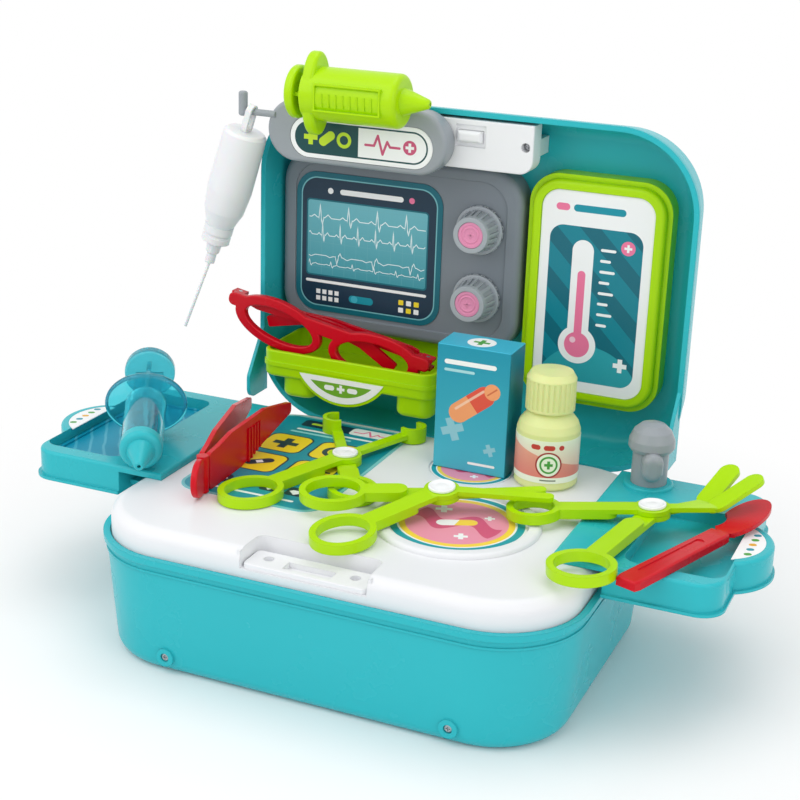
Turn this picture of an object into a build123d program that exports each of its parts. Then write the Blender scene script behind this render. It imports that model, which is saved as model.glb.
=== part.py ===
from build123d import *
import os
from math import atan2, cos, degrees, hypot, radians, sin

# Toy doctor case, standing open with its kit laid out. Millimetres.
# Origin: centre of the underside of the base. +X right, +Y towards the lid, +Z up.

# ---- case -----------------------------------------------------------------
WALL = 2.4                    # moulded wall of the tub and the lid
BASE_HALF_W = 147.0           # half width at the rim
BASE_HALF_D = 112.0           # half depth at the rim
BASE_DRAFT = 6.0              # the tub narrows by this much on each side towards its bottom
RIM_Z = 74.0                  # height of the tub's rim
CORNER_R = 52.0               # plan corner radius at the rim
LIP_OUT = 1.6                 # how far the rim lip stands proud
LEDGE_Z = 71.0                # ledge inside the tub that carries the deck
BOSS_X = 88.0                 # screw bosses low on the front wall
BOSS_Z = 11.0

DECK_TOP = 90.0
DECK_GAP = 3.2                # deck outline inside the rim outline
DECK_WALL = 2.2
RING_AT = (55.0, -20.0)       # raised round dish in the deck
RING_R = 49.0
RING_BAND = 7.0
RING_RISE = 3.0
DISC_AT = (32.0, 64.0)        # second, shallow round dish under the carton
DISC_R = 27.0
NOTCH_HALF = 38.5             # latch notch in the deck's front edge
NOTCH_FLOOR = 79.0

HINGE_Y = 119.5               # lid hinge axis
HINGE_Z = 74.0
KNUCKLE_R = 4.5
HINGE_PIN_R = 2.0
RUN_FIT = 0.08                # radial clearance of a running fit
KNUCKLE_X = 70.0              # centre of each lid knuckle
LID_Y = HINGE_Y + 1.0         # rim plane of the open lid
LID_BOTTOM = HINGE_Z + 7.5
LID_TOP = 302.0
LID_HALF_W = 147.0
LID_DEPTH = 38.0
LID_DRAFT = 4.0
LID_INNER_Y = LID_Y + LID_DEPTH - WALL

# ---- side trays -------------------------------------------------------------
TRAY_IN = 119.0               # inner edge of the strip that lies on the deck
TRAY_SIDE = 149.3             # inner face of the part that hangs beside the rim
TRAY_OUT = 213.5
TRAY_FRONT = -43.5
TRAY_BACK = 98.0
TRAY_TOP = 94.0
TRAY_BOTTOM = 75.5
TRAY_STRIP_Z = DECK_TOP + 0.1
TRAY_WALL = 2.2
LOBE_AT = (195.0, 22.0)
LOBE_R = 34.0
LEFT_TRAY_OUT = 9.0           # the left tray stands this far out of its seat
LABEL_DEEP = 0.5              # printed sheets lie flush in recesses this deep
TONGUE_Z = (77.8, 80.8)       # two tongues under each tray plug into slots in the deck
TONGUE_W = 22.0
TONGUE_Y = (-20.0, 46.0)
FAUCET_AT = (140.5, 82.0)
FAUCET_R = 11.0

# ---- lid fittings -----------------------------------------------------------
PANEL_Y = 137.0               # front face of the monitor and of the picture board
PICTURE = (80.5, 191.5, 87.0, 144.0)    # picture board: centre x, z, width, height of its bezel
KNOB_X = 2.8
KNOB_ZS = (224.5, 179.0)
KNOB_R = 16.0                 # skirt of a knob, at the housing
KNOB_FRONT_R = 11.5
KNOB_FRONT = 119.5            # y of a knob's front face
ARM_Y = (104.0, 118.0)        # thickness of the sign arm
ARM_Z = 282.0
ARM_R = 20.0
ARM_X = (-135.0, -10.0)
ARM_PIVOT_X = ARM_X[1] - ARM_R
HOOK_X = -147.0
HOOK_Y = 105.0
HOOK_Z = 291.0
BLOCK_HALF = 41.5
BLOCK_Z = (267.0, 297.8)
BLOCK_Y = (119.5, 134.0)
SHELF_X = (-133.0, -9.0)
SHELF_Y = 94.0
SHELF_FLOOR = 121.4           # top of the shelf floor

# ---- kit --------------------------------------------------------------------
DRIP_LEAN = 17.0              # the hung infusion bottle leans outwards by this many degrees
NEEDLE_LEAN = 5.0             # and its needle leans on by this much
TOOL_T = 6.0                  # thickness of the scissor-like tools
TOOL_PIVOT_R = 10.5
JAW_W = 7.0
HANDLE_W = 12.0
RING_W = 4.0
CLAW_TALL = 10.0
RIVET_R = 3.0


def slab(width, depth, height, radius, x=0.0, y=0.0, z=0.0):
    """Upright plate with rounded plan corners, centred at x, y with its underside at z."""
    return Pos(x, y, z) * extrude(RectangleRounded(width, depth, radius), height)


def facing(x, y, z):
    """Plane whose local x, y are the world's X, Z and whose normal points to the front (-Y)."""
    return Plane(origin=(x, y, z), x_dir=(1, 0, 0), z_dir=(0, -1, 0))


def wall_plate(sketch, y_front, y_back, x=0.0, z=0.0):
    """Sketch in X and Z, given thickness from y_front to y_back."""
    return extrude(facing(x, y_front, z) * sketch, amount=y_back - y_front, dir=(0, 1, 0))


def rod(start, end, radius):
    """Round bar between two points."""
    line = Vector(*end) - Vector(*start)
    return Plane(origin=start, z_dir=line) * Cylinder(
        radius, line.length, align=(Align.CENTER, Align.CENTER, Align.MIN)
    )


def block(x_range, y_range, z_range):
    """Box given by its ranges."""
    size = [hi - lo for lo, hi in (x_range, y_range, z_range)]
    return Pos(x_range[0], y_range[0], z_range[0]) * Box(
        *size, align=(Align.MIN, Align.MIN, Align.MIN)
    )


def write(name, *solids):
    """One STEP file for one node, whose solids stay separate."""
    shape = solids[0] if len(solids) == 1 else Compound(children=list(solids))
    export_step(shape, f"parts/{name}.step")


def mirrored(solid):
    return mirror(solid, about=Plane.YZ)


# ---- base -------------------------------------------------------------------
def tub_form(inset, z_low, z_high, bottom_fillet):
    """Drafted tub body between two heights, moved inwards by the inset."""
    sections = []
    for z in (z_low, z_high):
        narrow = BASE_DRAFT * (1 - z / RIM_Z) + inset
        sections.append(
            Pos(0, 0, z)
            * RectangleRounded(
                2 * (BASE_HALF_W - narrow), 2 * (BASE_HALF_D - narrow), CORNER_R - narrow
            )
        )
    body = loft(sections)
    if bottom_fillet:
        body = fillet(body.edges().group_by(Axis.Z)[0], bottom_fillet)
    return body


def rim_outline(offset_out):
    return RectangleRounded(
        2 * (BASE_HALF_W + offset_out), 2 * (BASE_HALF_D + offset_out), CORNER_R + offset_out
    )


def hinge_sites():
    return (-KNUCKLE_X, KNUCKLE_X)


def base_tub():
    tub = tub_form(0, 0, RIM_Z, 9)
    lip = Pos(0, 0, RIM_Z - 4.5) * extrude(rim_outline(LIP_OUT), 4.5)
    lip = fillet(lip.edges().group_by(Axis.Z)[0], 1.2)
    bead = Pos(0, 0, RIM_Z - 9.5) * extrude(rim_outline(0.1), 1.6)
    tub += lip + bead
    for side in (-1, 1):
        front = -(BASE_HALF_D - BASE_DRAFT * (1 - BOSS_Z / RIM_Z))
        tub += rod((side * BOSS_X, front - 1.6, BOSS_Z), (side * BOSS_X, front + 4, BOSS_Z), 5.6)
    tub -= tub_form(WALL, WALL, RIM_Z, 7)
    ledge = Pos(0, 0, LEDGE_Z - 2.4) * extrude(rim_outline(-WALL + 0.8), 2.4)
    ledge -= Pos(0, 0, LEDGE_Z - 2.4) * extrude(rim_outline(-7.0), 2.4)
    tub += ledge
    for side in (-1, 1):
        front = -(BASE_HALF_D - BASE_DRAFT * (1 - BOSS_Z / RIM_Z))
        tub -= rod((side * BOSS_X, front - 2, BOSS_Z), (side * BOSS_X, front + 1.2, BOSS_Z), 2.6)
    for site in hinge_sites():
        for outer in (-1, 1):
            x_near = site + outer * 10.3
            x_far = site + outer * 20.0
            low, high = sorted((x_near, x_far))
            ear = rod((low, HINGE_Y, HINGE_Z), (high, HINGE_Y, HINGE_Z), KNUCKLE_R)
            ear += block((low, high), (BASE_HALF_D - 1.5, HINGE_Y), (HINGE_Z - 4.5, HINGE_Z - 0.5))
            tub += ear
        reach = 21.0
        tub -= rod((site - reach, HINGE_Y, HINGE_Z), (site + reach, HINGE_Y, HINGE_Z), HINGE_PIN_R)
        gap = block((site - 10.3, site + 10.3), (BASE_HALF_D + 0.3, HINGE_Y + 8), (66, RIM_Z + 1))
        tub -= gap
    return tub


def deck_outline(inset):
    shrink = DECK_GAP + inset
    return RectangleRounded(
        2 * (BASE_HALF_W - shrink), 2 * (BASE_HALF_D - shrink), CORNER_R - shrink
    )


def tongue_slots(grow):
    """The tongues of the right tray, or the slots that they plug into when grown."""
    solids = []
    for y in TONGUE_Y:
        solids.append(
            block(
                (132.0 - grow, TRAY_SIDE + 3.0),
                (y - TONGUE_W / 2 - grow, y + TONGUE_W / 2 + grow),
                (TONGUE_Z[0] - grow, TONGUE_Z[1] + grow),
            )
        )
    return solids


def deck():
    height = DECK_TOP - LEDGE_Z
    body = Pos(0, 0, LEDGE_Z) * extrude(deck_outline(0), height)
    body = fillet(body.edges().group_by(Axis.Z)[-1], 7)
    cavity = Pos(0, 0, LEDGE_Z) * extrude(deck_outline(DECK_WALL), height - DECK_WALL)
    cavity = fillet(cavity.edges().group_by(Axis.Z)[-1], 5)
    body -= cavity
    ring_x, ring_y = RING_AT
    ring = Pos(ring_x, ring_y, DECK_TOP - DECK_WALL) * Cylinder(
        RING_R, DECK_WALL + RING_RISE, align=(Align.CENTER, Align.CENTER, Align.MIN)
    )
    ring = fillet(ring.edges().group_by(Axis.Z)[-1], 2.4)
    dish = Pos(ring_x, ring_y, DECK_TOP + 0.4) * Cylinder(
        RING_R - RING_BAND, 10, align=(Align.CENTER, Align.CENTER, Align.MIN)
    )
    body += ring
    body -= dish
    disc_x, disc_y = DISC_AT
    body -= Pos(disc_x, disc_y, DECK_TOP - 0.8) * Cylinder(
        DISC_R, 5, align=(Align.CENTER, Align.CENTER, Align.MIN)
    )
    # latch notch: a well whose floor and walls close the deck again
    front = -(BASE_HALF_D - DECK_GAP)
    well = block(
        (-NOTCH_HALF - DECK_WALL, NOTCH_HALF + DECK_WALL),
        (front + 1, front + 24 + DECK_WALL),
        (NOTCH_FLOOR - DECK_WALL, DECK_TOP - 1),
    )
    body += well
    notch = Pos(0, front + 8, NOTCH_FLOOR) * extrude(RectangleRounded(2 * NOTCH_HALF, 32, 5), 20)
    body -= notch
    for slot in tongue_slots(0.25):
        body -= slot
        body -= mirrored(slot)
    return body


def latch_plate():
    front = -(BASE_HALF_D - DECK_GAP)
    plate = Pos(0, front + 10.9, NOTCH_FLOOR) * extrude(RectangleRounded(75, 20, 3), 3.2)
    plate = fillet(plate.edges().group_by(Axis.Z)[-1], 0.8)
    for side in (-1, 1):
        plate -= rod(
            (side * 26.5, front + 12, NOTCH_FLOOR - 1), (side * 26.5, front + 12, DECK_TOP), 3
        )
    plate -= Pos(0, front + 9, NOTCH_FLOOR + 1.2) * Box(29, 8.5, 10)
    return plate


def deck_sheet():
    return Pos(-70.5, 26, DECK_TOP) * extrude(RectangleRounded(95, 146, 14), 0.5)


def ring_sheet():
    x, y = RING_AT
    return Pos(x, y, DECK_TOP + 0.4) * extrude(Circle(RING_R - RING_BAND - 1.0), 0.5)


def disc_sheet():
    x, y = DISC_AT
    return Pos(x, y, DECK_TOP - 0.8) * extrude(Circle(DISC_R - 0.8), 0.5)


def hinge_pins():
    pins = []
    for site in hinge_sites():
        pins.append(
            rod((site - 20.0, HINGE_Y, HINGE_Z), (site + 20.0, HINGE_Y, HINGE_Z), HINGE_PIN_R)
        )
    return pins


# ---- lid --------------------------------------------------------------------
LID_MID_Z = (LID_BOTTOM + LID_TOP) / 2
LID_HEIGHT = LID_TOP - LID_BOTTOM


def lid_form(inset, y_low, y_high, back_fillet):
    """Lid shell body between two depths, lofted so that it narrows towards its back."""
    sections = []
    for y in (y_low, y_high):
        narrow = LID_DRAFT * (y - LID_Y) / LID_DEPTH + inset
        sections.append(
            facing(0, y, LID_MID_Z)
            * RectangleRounded(
                2 * (LID_HALF_W - narrow), LID_HEIGHT - 2 * narrow, CORNER_R - narrow
            )
        )
    body = loft(sections)
    if back_fillet:
        body = fillet(body.edges().group_by(Axis.Y)[-1], back_fillet)
    return body


def lid_shell():
    shell = lid_form(0, LID_Y, LID_Y + LID_DEPTH, 12)
    shell -= lid_form(WALL, LID_Y, LID_INNER_Y, 9.5)
    # rim lip that closes over the tub's lip
    lip = wall_plate(
        RectangleRounded(2 * LID_HALF_W + 2, LID_HEIGHT + 2, CORNER_R + 1), LID_Y, LID_Y + 3.5,
        z=LID_MID_Z,
    )
    lip -= wall_plate(
        RectangleRounded(2 * LID_HALF_W - 2, LID_HEIGHT - 2, CORNER_R - 1), LID_Y, LID_Y + 3.5,
        z=LID_MID_Z,
    )
    shell += lip
    # cheeks: the side walls reach forward beside the hinge
    cheek_front = TRAY_BACK + 1.2
    outline = Polyline(
        (LID_Y + 4, 96), (cheek_front, 96), (cheek_front, 112), (LID_Y, 142), (LID_Y + 4, 142),
        close=True,
    )
    cheek_face = make_face(Plane(origin=(0, 0, 0), x_dir=(0, 1, 0), z_dir=(1, 0, 0)) * outline)
    cheek = extrude(cheek_face, amount=WALL, dir=(1, 0, 0))
    cheek = fillet(cheek.edges().filter_by(Axis.X).sort_by(Axis.Y)[0:2], 7)
    shell += Pos(LID_HALF_W - WALL, 0, 0) * cheek
    shell += Pos(-LID_HALF_W, 0, 0) * cheek
    for site in hinge_sites():
        knuckle = rod((site - 10, HINGE_Y, HINGE_Z), (site + 10, HINGE_Y, HINGE_Z), KNUCKLE_R)
        web = block(
            (site - 10, site + 10), (HINGE_Y, HINGE_Y + KNUCKLE_R), (HINGE_Z, LID_BOTTOM + 1.5)
        )
        shell += knuckle + web
        shell -= rod(
            (site - 11, HINGE_Y, HINGE_Z), (site + 11, HINGE_Y, HINGE_Z), HINGE_PIN_R + RUN_FIT
        )
    return shell


def latch_block():
    width = 2 * BLOCK_HALF
    height = BLOCK_Z[1] - BLOCK_Z[0]
    body = wall_plate(Rectangle(width, height), *BLOCK_Y, z=sum(BLOCK_Z) / 2)
    body = fillet(body.edges().filter_by(Axis.Y).group_by(Axis.Z)[0], 9)
    body = fillet(body.edges().group_by(Axis.Y)[0], 0.8)
    for side in (-1, 1):
        body -= rod((side * 36.5, BLOCK_Y[0] - 1, 284.0), (side * 36.5, BLOCK_Y[0] + 8, 284.0), 2.9)
    front = BLOCK_Y[0]
    body -= block((-10, 10), (front - 1, front + 1.2), (281.0, 294.5))
    body -= block((-8.2, 8.2), (front - 1, front + 4.2), (283.8, 291.2))
    body -= block((-10, 10), (front + 4, front + 12.4), (281.0, 294.5))
    body -= rod((ARM_PIVOT_X, BLOCK_Y[0] - 1, ARM_Z), (ARM_PIVOT_X, BLOCK_Y[0] + 9, ARM_Z), 4)
    for side in (-1, 1):
        x_range = sorted((side * (BLOCK_HALF - 8), side * (BLOCK_HALF - 2)))
        body += block(x_range, (BLOCK_Y[1] - 1, LID_INNER_Y), (BLOCK_Z[0] + 9, BLOCK_Z[1] - 11))
    return body


def latch_tongue():
    """Sprung catch: a plate in the block's pocket with a rounded nose towards the front."""
    tongue = block((-9.8, 9.8), (BLOCK_Y[0] + 4.05, BLOCK_Y[0] + 8.8), (281.2, 293.8))
    nose = block((-8, 8), (BLOCK_Y[0] - 3.5, BLOCK_Y[0] + 4.1), (284.0, 291.0))
    nose = fillet(nose.edges().group_by(Axis.Y)[0], 2.2)
    return tongue + nose


def monitor_housing():
    x_mid, z_mid, width, height = -54.5, 203.5, 171.0, 123.0
    body = wall_plate(RectangleRounded(width, height, 24), PANEL_Y, LID_INNER_Y, x_mid, z_mid)
    body = fillet(body.edges().group_by(Axis.Y)[0], 5)
    body &= lid_form(WALL + 0.2, LID_Y, LID_INNER_Y, 9.3)
    body -= wall_plate(
        RectangleRounded(width - 5, height - 5, 21.5), PANEL_Y + 6, LID_INNER_Y, x_mid, z_mid
    )
    # raised border on the face, with the label's recess inside it
    groove = wall_plate(RectangleRounded(width - 20, height - 18, 18), PANEL_Y, PANEL_Y + 1.2,
                        x_mid, z_mid)
    groove = fillet(groove.edges().group_by(Axis.Y)[-1], 0.8)
    body -= groove
    for z in KNOB_ZS:
        body += rod((KNOB_X, PANEL_Y + 0.2, z), (KNOB_X, PANEL_Y + 10, z), 7)
        body -= rod((KNOB_X, PANEL_Y - 1, z), (KNOB_X, PANEL_Y + 12, z), 3 + RUN_FIT)
    return body


def monitor_label():
    return wall_plate(RectangleRounded(106, 96, 15), PANEL_Y + 0.6, PANEL_Y + 1.2, -76.5, 202.0)


def knob(z):
    """Knob with a fluted, flared skirt, a stem into the housing and a seat for its cap."""
    depth = PANEL_Y - 0.4 - KNOB_FRONT
    skirt = profile((0, 0), (KNOB_FRONT_R, 0), (KNOB_FRONT_R, 4), (KNOB_R, 8), (KNOB_R, depth), (0, depth))
    skirt = fillet(skirt.edges().filter_by(GeomType.CIRCLE).group_by(Axis.Z)[0], 1.8)
    flutes = 16
    for i in range(flutes):
        x, y = at_angle(KNOB_R + 0.3, 360 / flutes * i)
        skirt -= Pos(x, y, 2) * Cylinder(1.7, depth - 5, align=(Align.CENTER, Align.CENTER, Align.MIN))
    skirt += Cylinder(3, depth + 9, align=(Align.CENTER, Align.CENTER, Align.MIN))
    skirt -= Cylinder(8.6, 3.2)
    return Pos(KNOB_X, KNOB_FRONT, z) * Rot(-90, 0, 0) * skirt


def knob_cap(z):
    cap = rod((KNOB_X, KNOB_FRONT + 0.4, z), (KNOB_X, KNOB_FRONT + 1.6, z), 8.4)
    return fillet(cap.edges().group_by(Axis.Y)[0], 0.5)


def picture_frame():
    x_mid, z_mid, width, height = PICTURE
    body = wall_plate(RectangleRounded(width + 6, height + 6, 20), PANEL_Y + 5, LID_INNER_Y,
                      x_mid, z_mid)
    bezel = wall_plate(RectangleRounded(width, height, 18), PANEL_Y, PANEL_Y + 7, x_mid, z_mid)
    bezel = fillet(bezel.edges().group_by(Axis.Y)[0], 3)
    body += bezel
    body -= wall_plate(RectangleRounded(width - 13, height - 12, 12), PANEL_Y, PANEL_Y + 1.6,
                       x_mid, z_mid)
    body -= wall_plate(RectangleRounded(width - 8, height - 8, 15), PANEL_Y + 9, LID_INNER_Y,
                       x_mid, z_mid)
    return body


def picture_card():
    x_mid, z_mid, width, height = PICTURE
    card = RectangleRounded(width - 13.6, height - 12.6, 11.7)
    return wall_plate(card, PANEL_Y + 1.0, PANEL_Y + 1.6, x_mid, z_mid)


def shelf():
    """Tray that hangs low in the lid, with two cups under it and a plate for its label."""
    x_mid = sum(SHELF_X) / 2
    width = SHELF_X[1] - SHELF_X[0]
    depth = LID_INNER_Y - SHELF_Y
    y_mid = SHELF_Y + depth / 2
    band = slab(width, depth, 18.1, 9, x_mid, y_mid, 117.0)
    band = fillet(band.edges().group_by(Axis.Z)[0], 2.5)
    band = fillet(band.edges().group_by(Axis.Z)[-1], 1.0)
    band -= slab(width - 5, depth - 5, 20, 6.5, x_mid, y_mid, SHELF_FLOOR)
    band -= slab(width - 12, depth - 12, 2, 4, x_mid, y_mid, 116.9)
    rib = slab(width + 1.6, depth, 3, 9.5, x_mid, y_mid - 0.8, 124.5)
    rib -= slab(width - 2, depth - 2, 3, 8, x_mid, y_mid, 124.5)
    rib -= block((-200, 0), (LID_INNER_Y - 1, LID_INNER_Y + 5), (120, 130))
    band += rib
    back = block((SHELF_X[0] + 6, SHELF_X[1] - 6), (LID_INNER_Y - 3, LID_INNER_Y), (119, 140))
    band += back
    for cup_x, cup_w in ((-108.0, 24.0), (-24.0, 26.0)):
        cup = slab(cup_w, 20, SHELF_FLOOR - 103.5, 8, cup_x, SHELF_Y + 13, 103.0)
        cup = fillet(cup.edges().group_by(Axis.Z)[0], 4)
        band += cup
        band -= slab(cup_w - 4.4, 15.6, 18, 6, cup_x, SHELF_Y + 13, 105.2)
    plate = wall_plate(Circle(38), SHELF_Y, SHELF_Y + 2.6, -73.5, 142.0)
    plate &= block((-120, -20), (0, 200), (90, 124))
    return band + plate


def shelf_label():
    label = wall_plate(Circle(36), SHELF_Y - 0.6, SHELF_Y, -73.5, 142.0)
    return label & block((-120, -20), (0, 200), (90, 123))


def sign_arm():
    """Pill-shaped arm that swivels on the latch block and carries a T-shaped hook."""
    length = ARM_X[1] - ARM_X[0]
    x_mid = sum(ARM_X) / 2
    body = wall_plate(SlotOverall(length, 2 * ARM_R), *ARM_Y, x_mid, ARM_Z)
    body = fillet(body.edges().group_by(Axis.Y)[0], 3)
    body -= wall_plate(SlotOverall(99.5, 26.5), ARM_Y[0], ARM_Y[0] + 0.8, -68.5, 279.0)
    body += rod((ARM_PIVOT_X, ARM_Y[1] - 1, ARM_Z), (ARM_PIVOT_X, BLOCK_Y[0] - 0.1, ARM_Z), 8)
    body += rod((ARM_PIVOT_X, ARM_Y[1] - 1, ARM_Z), (ARM_PIVOT_X, BLOCK_Y[0] + 8, ARM_Z), 4 - RUN_FIT)
    body += rod((HOOK_X - 6, HOOK_Y, HOOK_Z), (ARM_X[0] + 6, HOOK_Y, HOOK_Z), 2.2)
    peg = rod((HOOK_X - 6, HOOK_Y, HOOK_Z - 3), (HOOK_X - 6, HOOK_Y, HOOK_Z + 13), 3)
    body += fillet(peg.edges(), 1.6)
    saddle = block((-84, -46), (SYRINGE_Y + 6, ARM_Y[0] + 4), (296.0, 306.0))
    body += saddle - rod((-90, SYRINGE_Y, SYRINGE_Z), (-40, SYRINGE_Y, SYRINGE_Z), SYRINGE_R + 0.1)
    return body


def sign_label():
    return wall_plate(SlotOverall(99, 26), ARM_Y[0] + 0.2, ARM_Y[0] + 0.8, -68.5, 279.0)


# ---- infusion bottle --------------------------------------------------------
def leaning(solid):
    """Turn a solid that hangs from the origin and put it on the arm's hook."""
    return Pos(HOOK_X, HOOK_Y, HOOK_Z) * Rot(0, DRIP_LEAN, 0) * solid


def profile(*points):
    """Solid of revolution about Z from (radius, height) points."""
    face = make_face(Plane.XZ * Polyline(*points, close=True))
    return revolve(face, Axis.Z)


def drip_bottle():
    body = profile((0, -13.5), (12.5, -13.5), (14.4, -15.5), (14.6, -20), (15, -55), (13.4, -70), (9.4, -81),
                   (0, -81))
    body = fillet(body.edges().filter_by(GeomType.CIRCLE).group_by(Axis.Z)[-1], 1.5)
    strap = Pos(0, -5.2) * SlotOverall(20, 9.4, rotation=90) - Pos(0, -4.4) * SlotOverall(15, 6, rotation=90)
    loop = extrude(Plane.YZ * strap, 2.0, both=True)
    return leaning(body + loop)


def drip_cap():
    rings = profile((0, -81), (9.8, -81), (9.8, -86.6), (8.8, -87.2), (8.8, -88.4), (9.6, -89), (9.6, -93),
                    (5.2, -95), (4.6, -101), (3.4, -102.5), (3.4, -109), (0, -109))
    return leaning(rings)


def drip_needle():
    return leaning(Pos(0, 0, -109) * Rot(0, NEEDLE_LEAN, 0) * rod((0, 0, 0), (0, 0, -52), 1.1))


# ---- syringes ---------------------------------------------------------------
SYRINGE_R = 16.8
SYRINGE_Y = 88.5
SYRINGE_Z = 310.0


def syringe_place():
    """Lime syringe: local Z runs from the nozzle's tip to the thumb rest, world -X."""
    return Plane(origin=(-15.5, SYRINGE_Y, SYRINGE_Z), x_dir=(0, -1, 0), z_dir=(-1, 0, 0))


def clear_place():
    """Clear syringe: its tip near the deck, leaning up and back to the left."""
    heading, lean = radians(118.6), radians(7.8)
    axis = (cos(heading) * cos(lean), sin(heading) * cos(lean), sin(lean))
    side = (-sin(heading), cos(heading), 0)
    return Plane(origin=(-131.4, -62.8, 105.4), x_dir=side, z_dir=axis)


def syringe_barrel(place, radius, nozzle, length, flange_size, bore, window):
    """Open barrel with a cone nozzle, an oval finger flange and a scale; local Z from the tip."""
    end = nozzle + length
    body = profile((0, 0), (2.2, 0), (3.0, 1.0), (8.6, nozzle), (radius, nozzle), (radius, end), (0, end))
    body = fillet(body.edges().filter_by(GeomType.CIRCLE).group_by(Axis.Z)[2].sort_by(SortBy.LENGTH)[-1], 3.5)
    flange_w, flange_h, flange_t = flange_size
    flange = Pos(0, 0, end - flange_t) * extrude(Ellipse(flange_w / 2, flange_h / 2), flange_t)
    flange = fillet(flange.edges(), 2.4)
    body += flange
    if window:
        low, high = nozzle + 9, end - flange_t - 2
        frame = Box(3, 17, high - low) - Box(3, 14.6, high - low - 2.4)
        for i in range(8):
            frame += Pos(0, -1.5, (i - 3.5) * (high - low) / 9.5) * Box(3, 8, 0.8)
        body += Pos(radius - 1.0, 0, (low + high) / 2) * frame
    body -= Pos(0, 0, nozzle + 3) * Cylinder(
        bore, length + 20, align=(Align.CENTER, Align.CENTER, Align.MIN)
    )
    body -= Cylinder(1.1, 60)
    return place * body


def plunger(place, start, bore, stem_end, head_r, head_t):
    """Piston, cross-shaped stem and round thumb rest; local Z from the nozzle's tip."""
    piston = Pos(0, 0, start) * Cylinder(bore, 7, align=(Align.CENTER, Align.CENTER, Align.MIN))
    piston = fillet(piston.edges(), 0.8)
    length = stem_end - start - 6
    for turn in (0, 90):
        rib = Pos(0, 0, start + 6 + length / 2) * Box(1.7 * bore, 2.6, length)
        piston += Rot(0, 0, turn) * rib
    head = Pos(0, 0, stem_end) * Cylinder(head_r, head_t, align=(Align.CENTER, Align.CENTER, Align.MIN))
    head = fillet(head.edges(), 2.0)
    return place * (piston + head)


# ---- side trays -------------------------------------------------------------
def tray_plan(grow, x_in):
    """Plan of a side tray: a rounded plate with a round lobe on its outer edge."""
    width = TRAY_OUT + 20 - x_in
    depth = TRAY_BACK - TRAY_FRONT + 2 * grow
    y_mid = (TRAY_BACK + TRAY_FRONT) / 2
    plate = Pos(TRAY_OUT + grow - width / 2, y_mid) * RectangleRounded(width, depth, 15)
    plan = plate + Pos(*LOBE_AT) * Circle(LOBE_R + grow)
    keep = Pos(x_in + 150, y_mid) * Rectangle(300, 300)
    return plan & keep


def tray(pocket_y, with_socket):
    """Right-hand side tray. Its strip lies on the deck and its tongues plug into the deck."""
    pocket_mid = 184.0
    outer = Pos(0, 0, TRAY_BOTTOM) * extrude(tray_plan(0, TRAY_SIDE), TRAY_TOP - TRAY_BOTTOM)
    strip = Pos(0, 0, TRAY_STRIP_Z) * extrude(tray_plan(0, TRAY_IN), TRAY_TOP - TRAY_STRIP_Z)
    strip &= block((0, TRAY_SIDE + 10), (-200, 200), (0, 200))
    body = outer + strip
    body = fillet(body.faces().sort_by(Axis.Z)[-1].outer_wire().edges(), 2.0)
    lip = Pos(0, 0, TRAY_BOTTOM) * extrude(tray_plan(1.5, TRAY_SIDE), 1.8)
    body += lip
    hollow = tray_plan(-TRAY_WALL, TRAY_SIDE + TRAY_WALL)
    body -= Pos(0, 0, TRAY_BOTTOM) * extrude(hollow, TRAY_TOP - TRAY_WALL - TRAY_BOTTOM)
    y_mid = sum(pocket_y) / 2
    depth = pocket_y[1] - pocket_y[0]
    body += slab(60.4, depth + 4.4, 8.5, 11, pocket_mid, y_mid, TRAY_TOP - 10.5)
    body -= slab(56, depth, 12, 9, pocket_mid, y_mid, TRAY_TOP - 8.3)
    body -= Pos(0, 0, -LABEL_DEEP) * tray_label()
    for tongue in tongue_slots(0):
        body += tongue
        body += block((TRAY_SIDE, TRAY_SIDE + 6), (tongue.bounding_box().min.Y, tongue.bounding_box().max.Y),
                      (TONGUE_Z[0], TRAY_TOP - 2))
    if with_socket:
        x, y = FAUCET_AT
        collar = Pos(x, y, TRAY_STRIP_Z) * Cylinder(15.5, TRAY_TOP + 2.2 - TRAY_STRIP_Z,
                                                    align=(Align.CENTER, Align.CENTER, Align.MIN))
        body += fillet(collar.edges().group_by(Axis.Z)[-1], 1.4)
        body -= Pos(x, y, 91.2) * Cylinder(FAUCET_R + RUN_FIT, 20,
                                           align=(Align.CENTER, Align.CENTER, Align.MIN))
    return body


def tray_label():
    label = Circle(LOBE_R - 5) & Pos(32, 0) * Rectangle(34, 60)
    return Pos(LOBE_AT[0], LOBE_AT[1], TRAY_TOP) * extrude(label, LABEL_DEEP)


def water_window():
    """Clear blue sheet in the left tray, with a raised frame."""
    sheet = slab(55.6, 117.6, 1.2, 8.8, 184, 27, TRAY_TOP - 8.3)
    border = slab(50, 112, 2.4, 7, 184, 27, TRAY_TOP - 8.3) - slab(46, 108, 4, 5, 184, 27, TRAY_TOP - 8.3)
    return sheet + border


def faucet_post():
    x, y = FAUCET_AT
    stem = profile((0, 91.2), (FAUCET_R, 91.2), (FAUCET_R, 120), (0, 120))
    dome = profile((0, 117), (12.6, 117), (14.2, 119.5), (13.9, 124), (11.5, 129.5), (7.5, 133.2),
                   (3.2, 134.8), (0, 135.1))
    return Pos(x, y, 0) * (stem + dome)


def faucet_spout():
    x, y = FAUCET_AT
    heading = radians(-70)
    place = Plane(
        origin=(x + 10 * cos(heading), y + 10 * sin(heading), 110.5),
        x_dir=(-sin(heading), cos(heading), 0),
        z_dir=(cos(heading), sin(heading), 0),
    )
    nub = place * extrude(SlotOverall(18, 12.6, rotation=90), 9)
    nub = fillet(nub.faces().sort_by(Axis.Y)[0].edges(), 4.5)
    return nub - faucet_post()


# ---- scissor-like tools -----------------------------------------------------
def at_angle(distance, angle):
    return distance * cos(radians(angle)), distance * sin(radians(angle))


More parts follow.
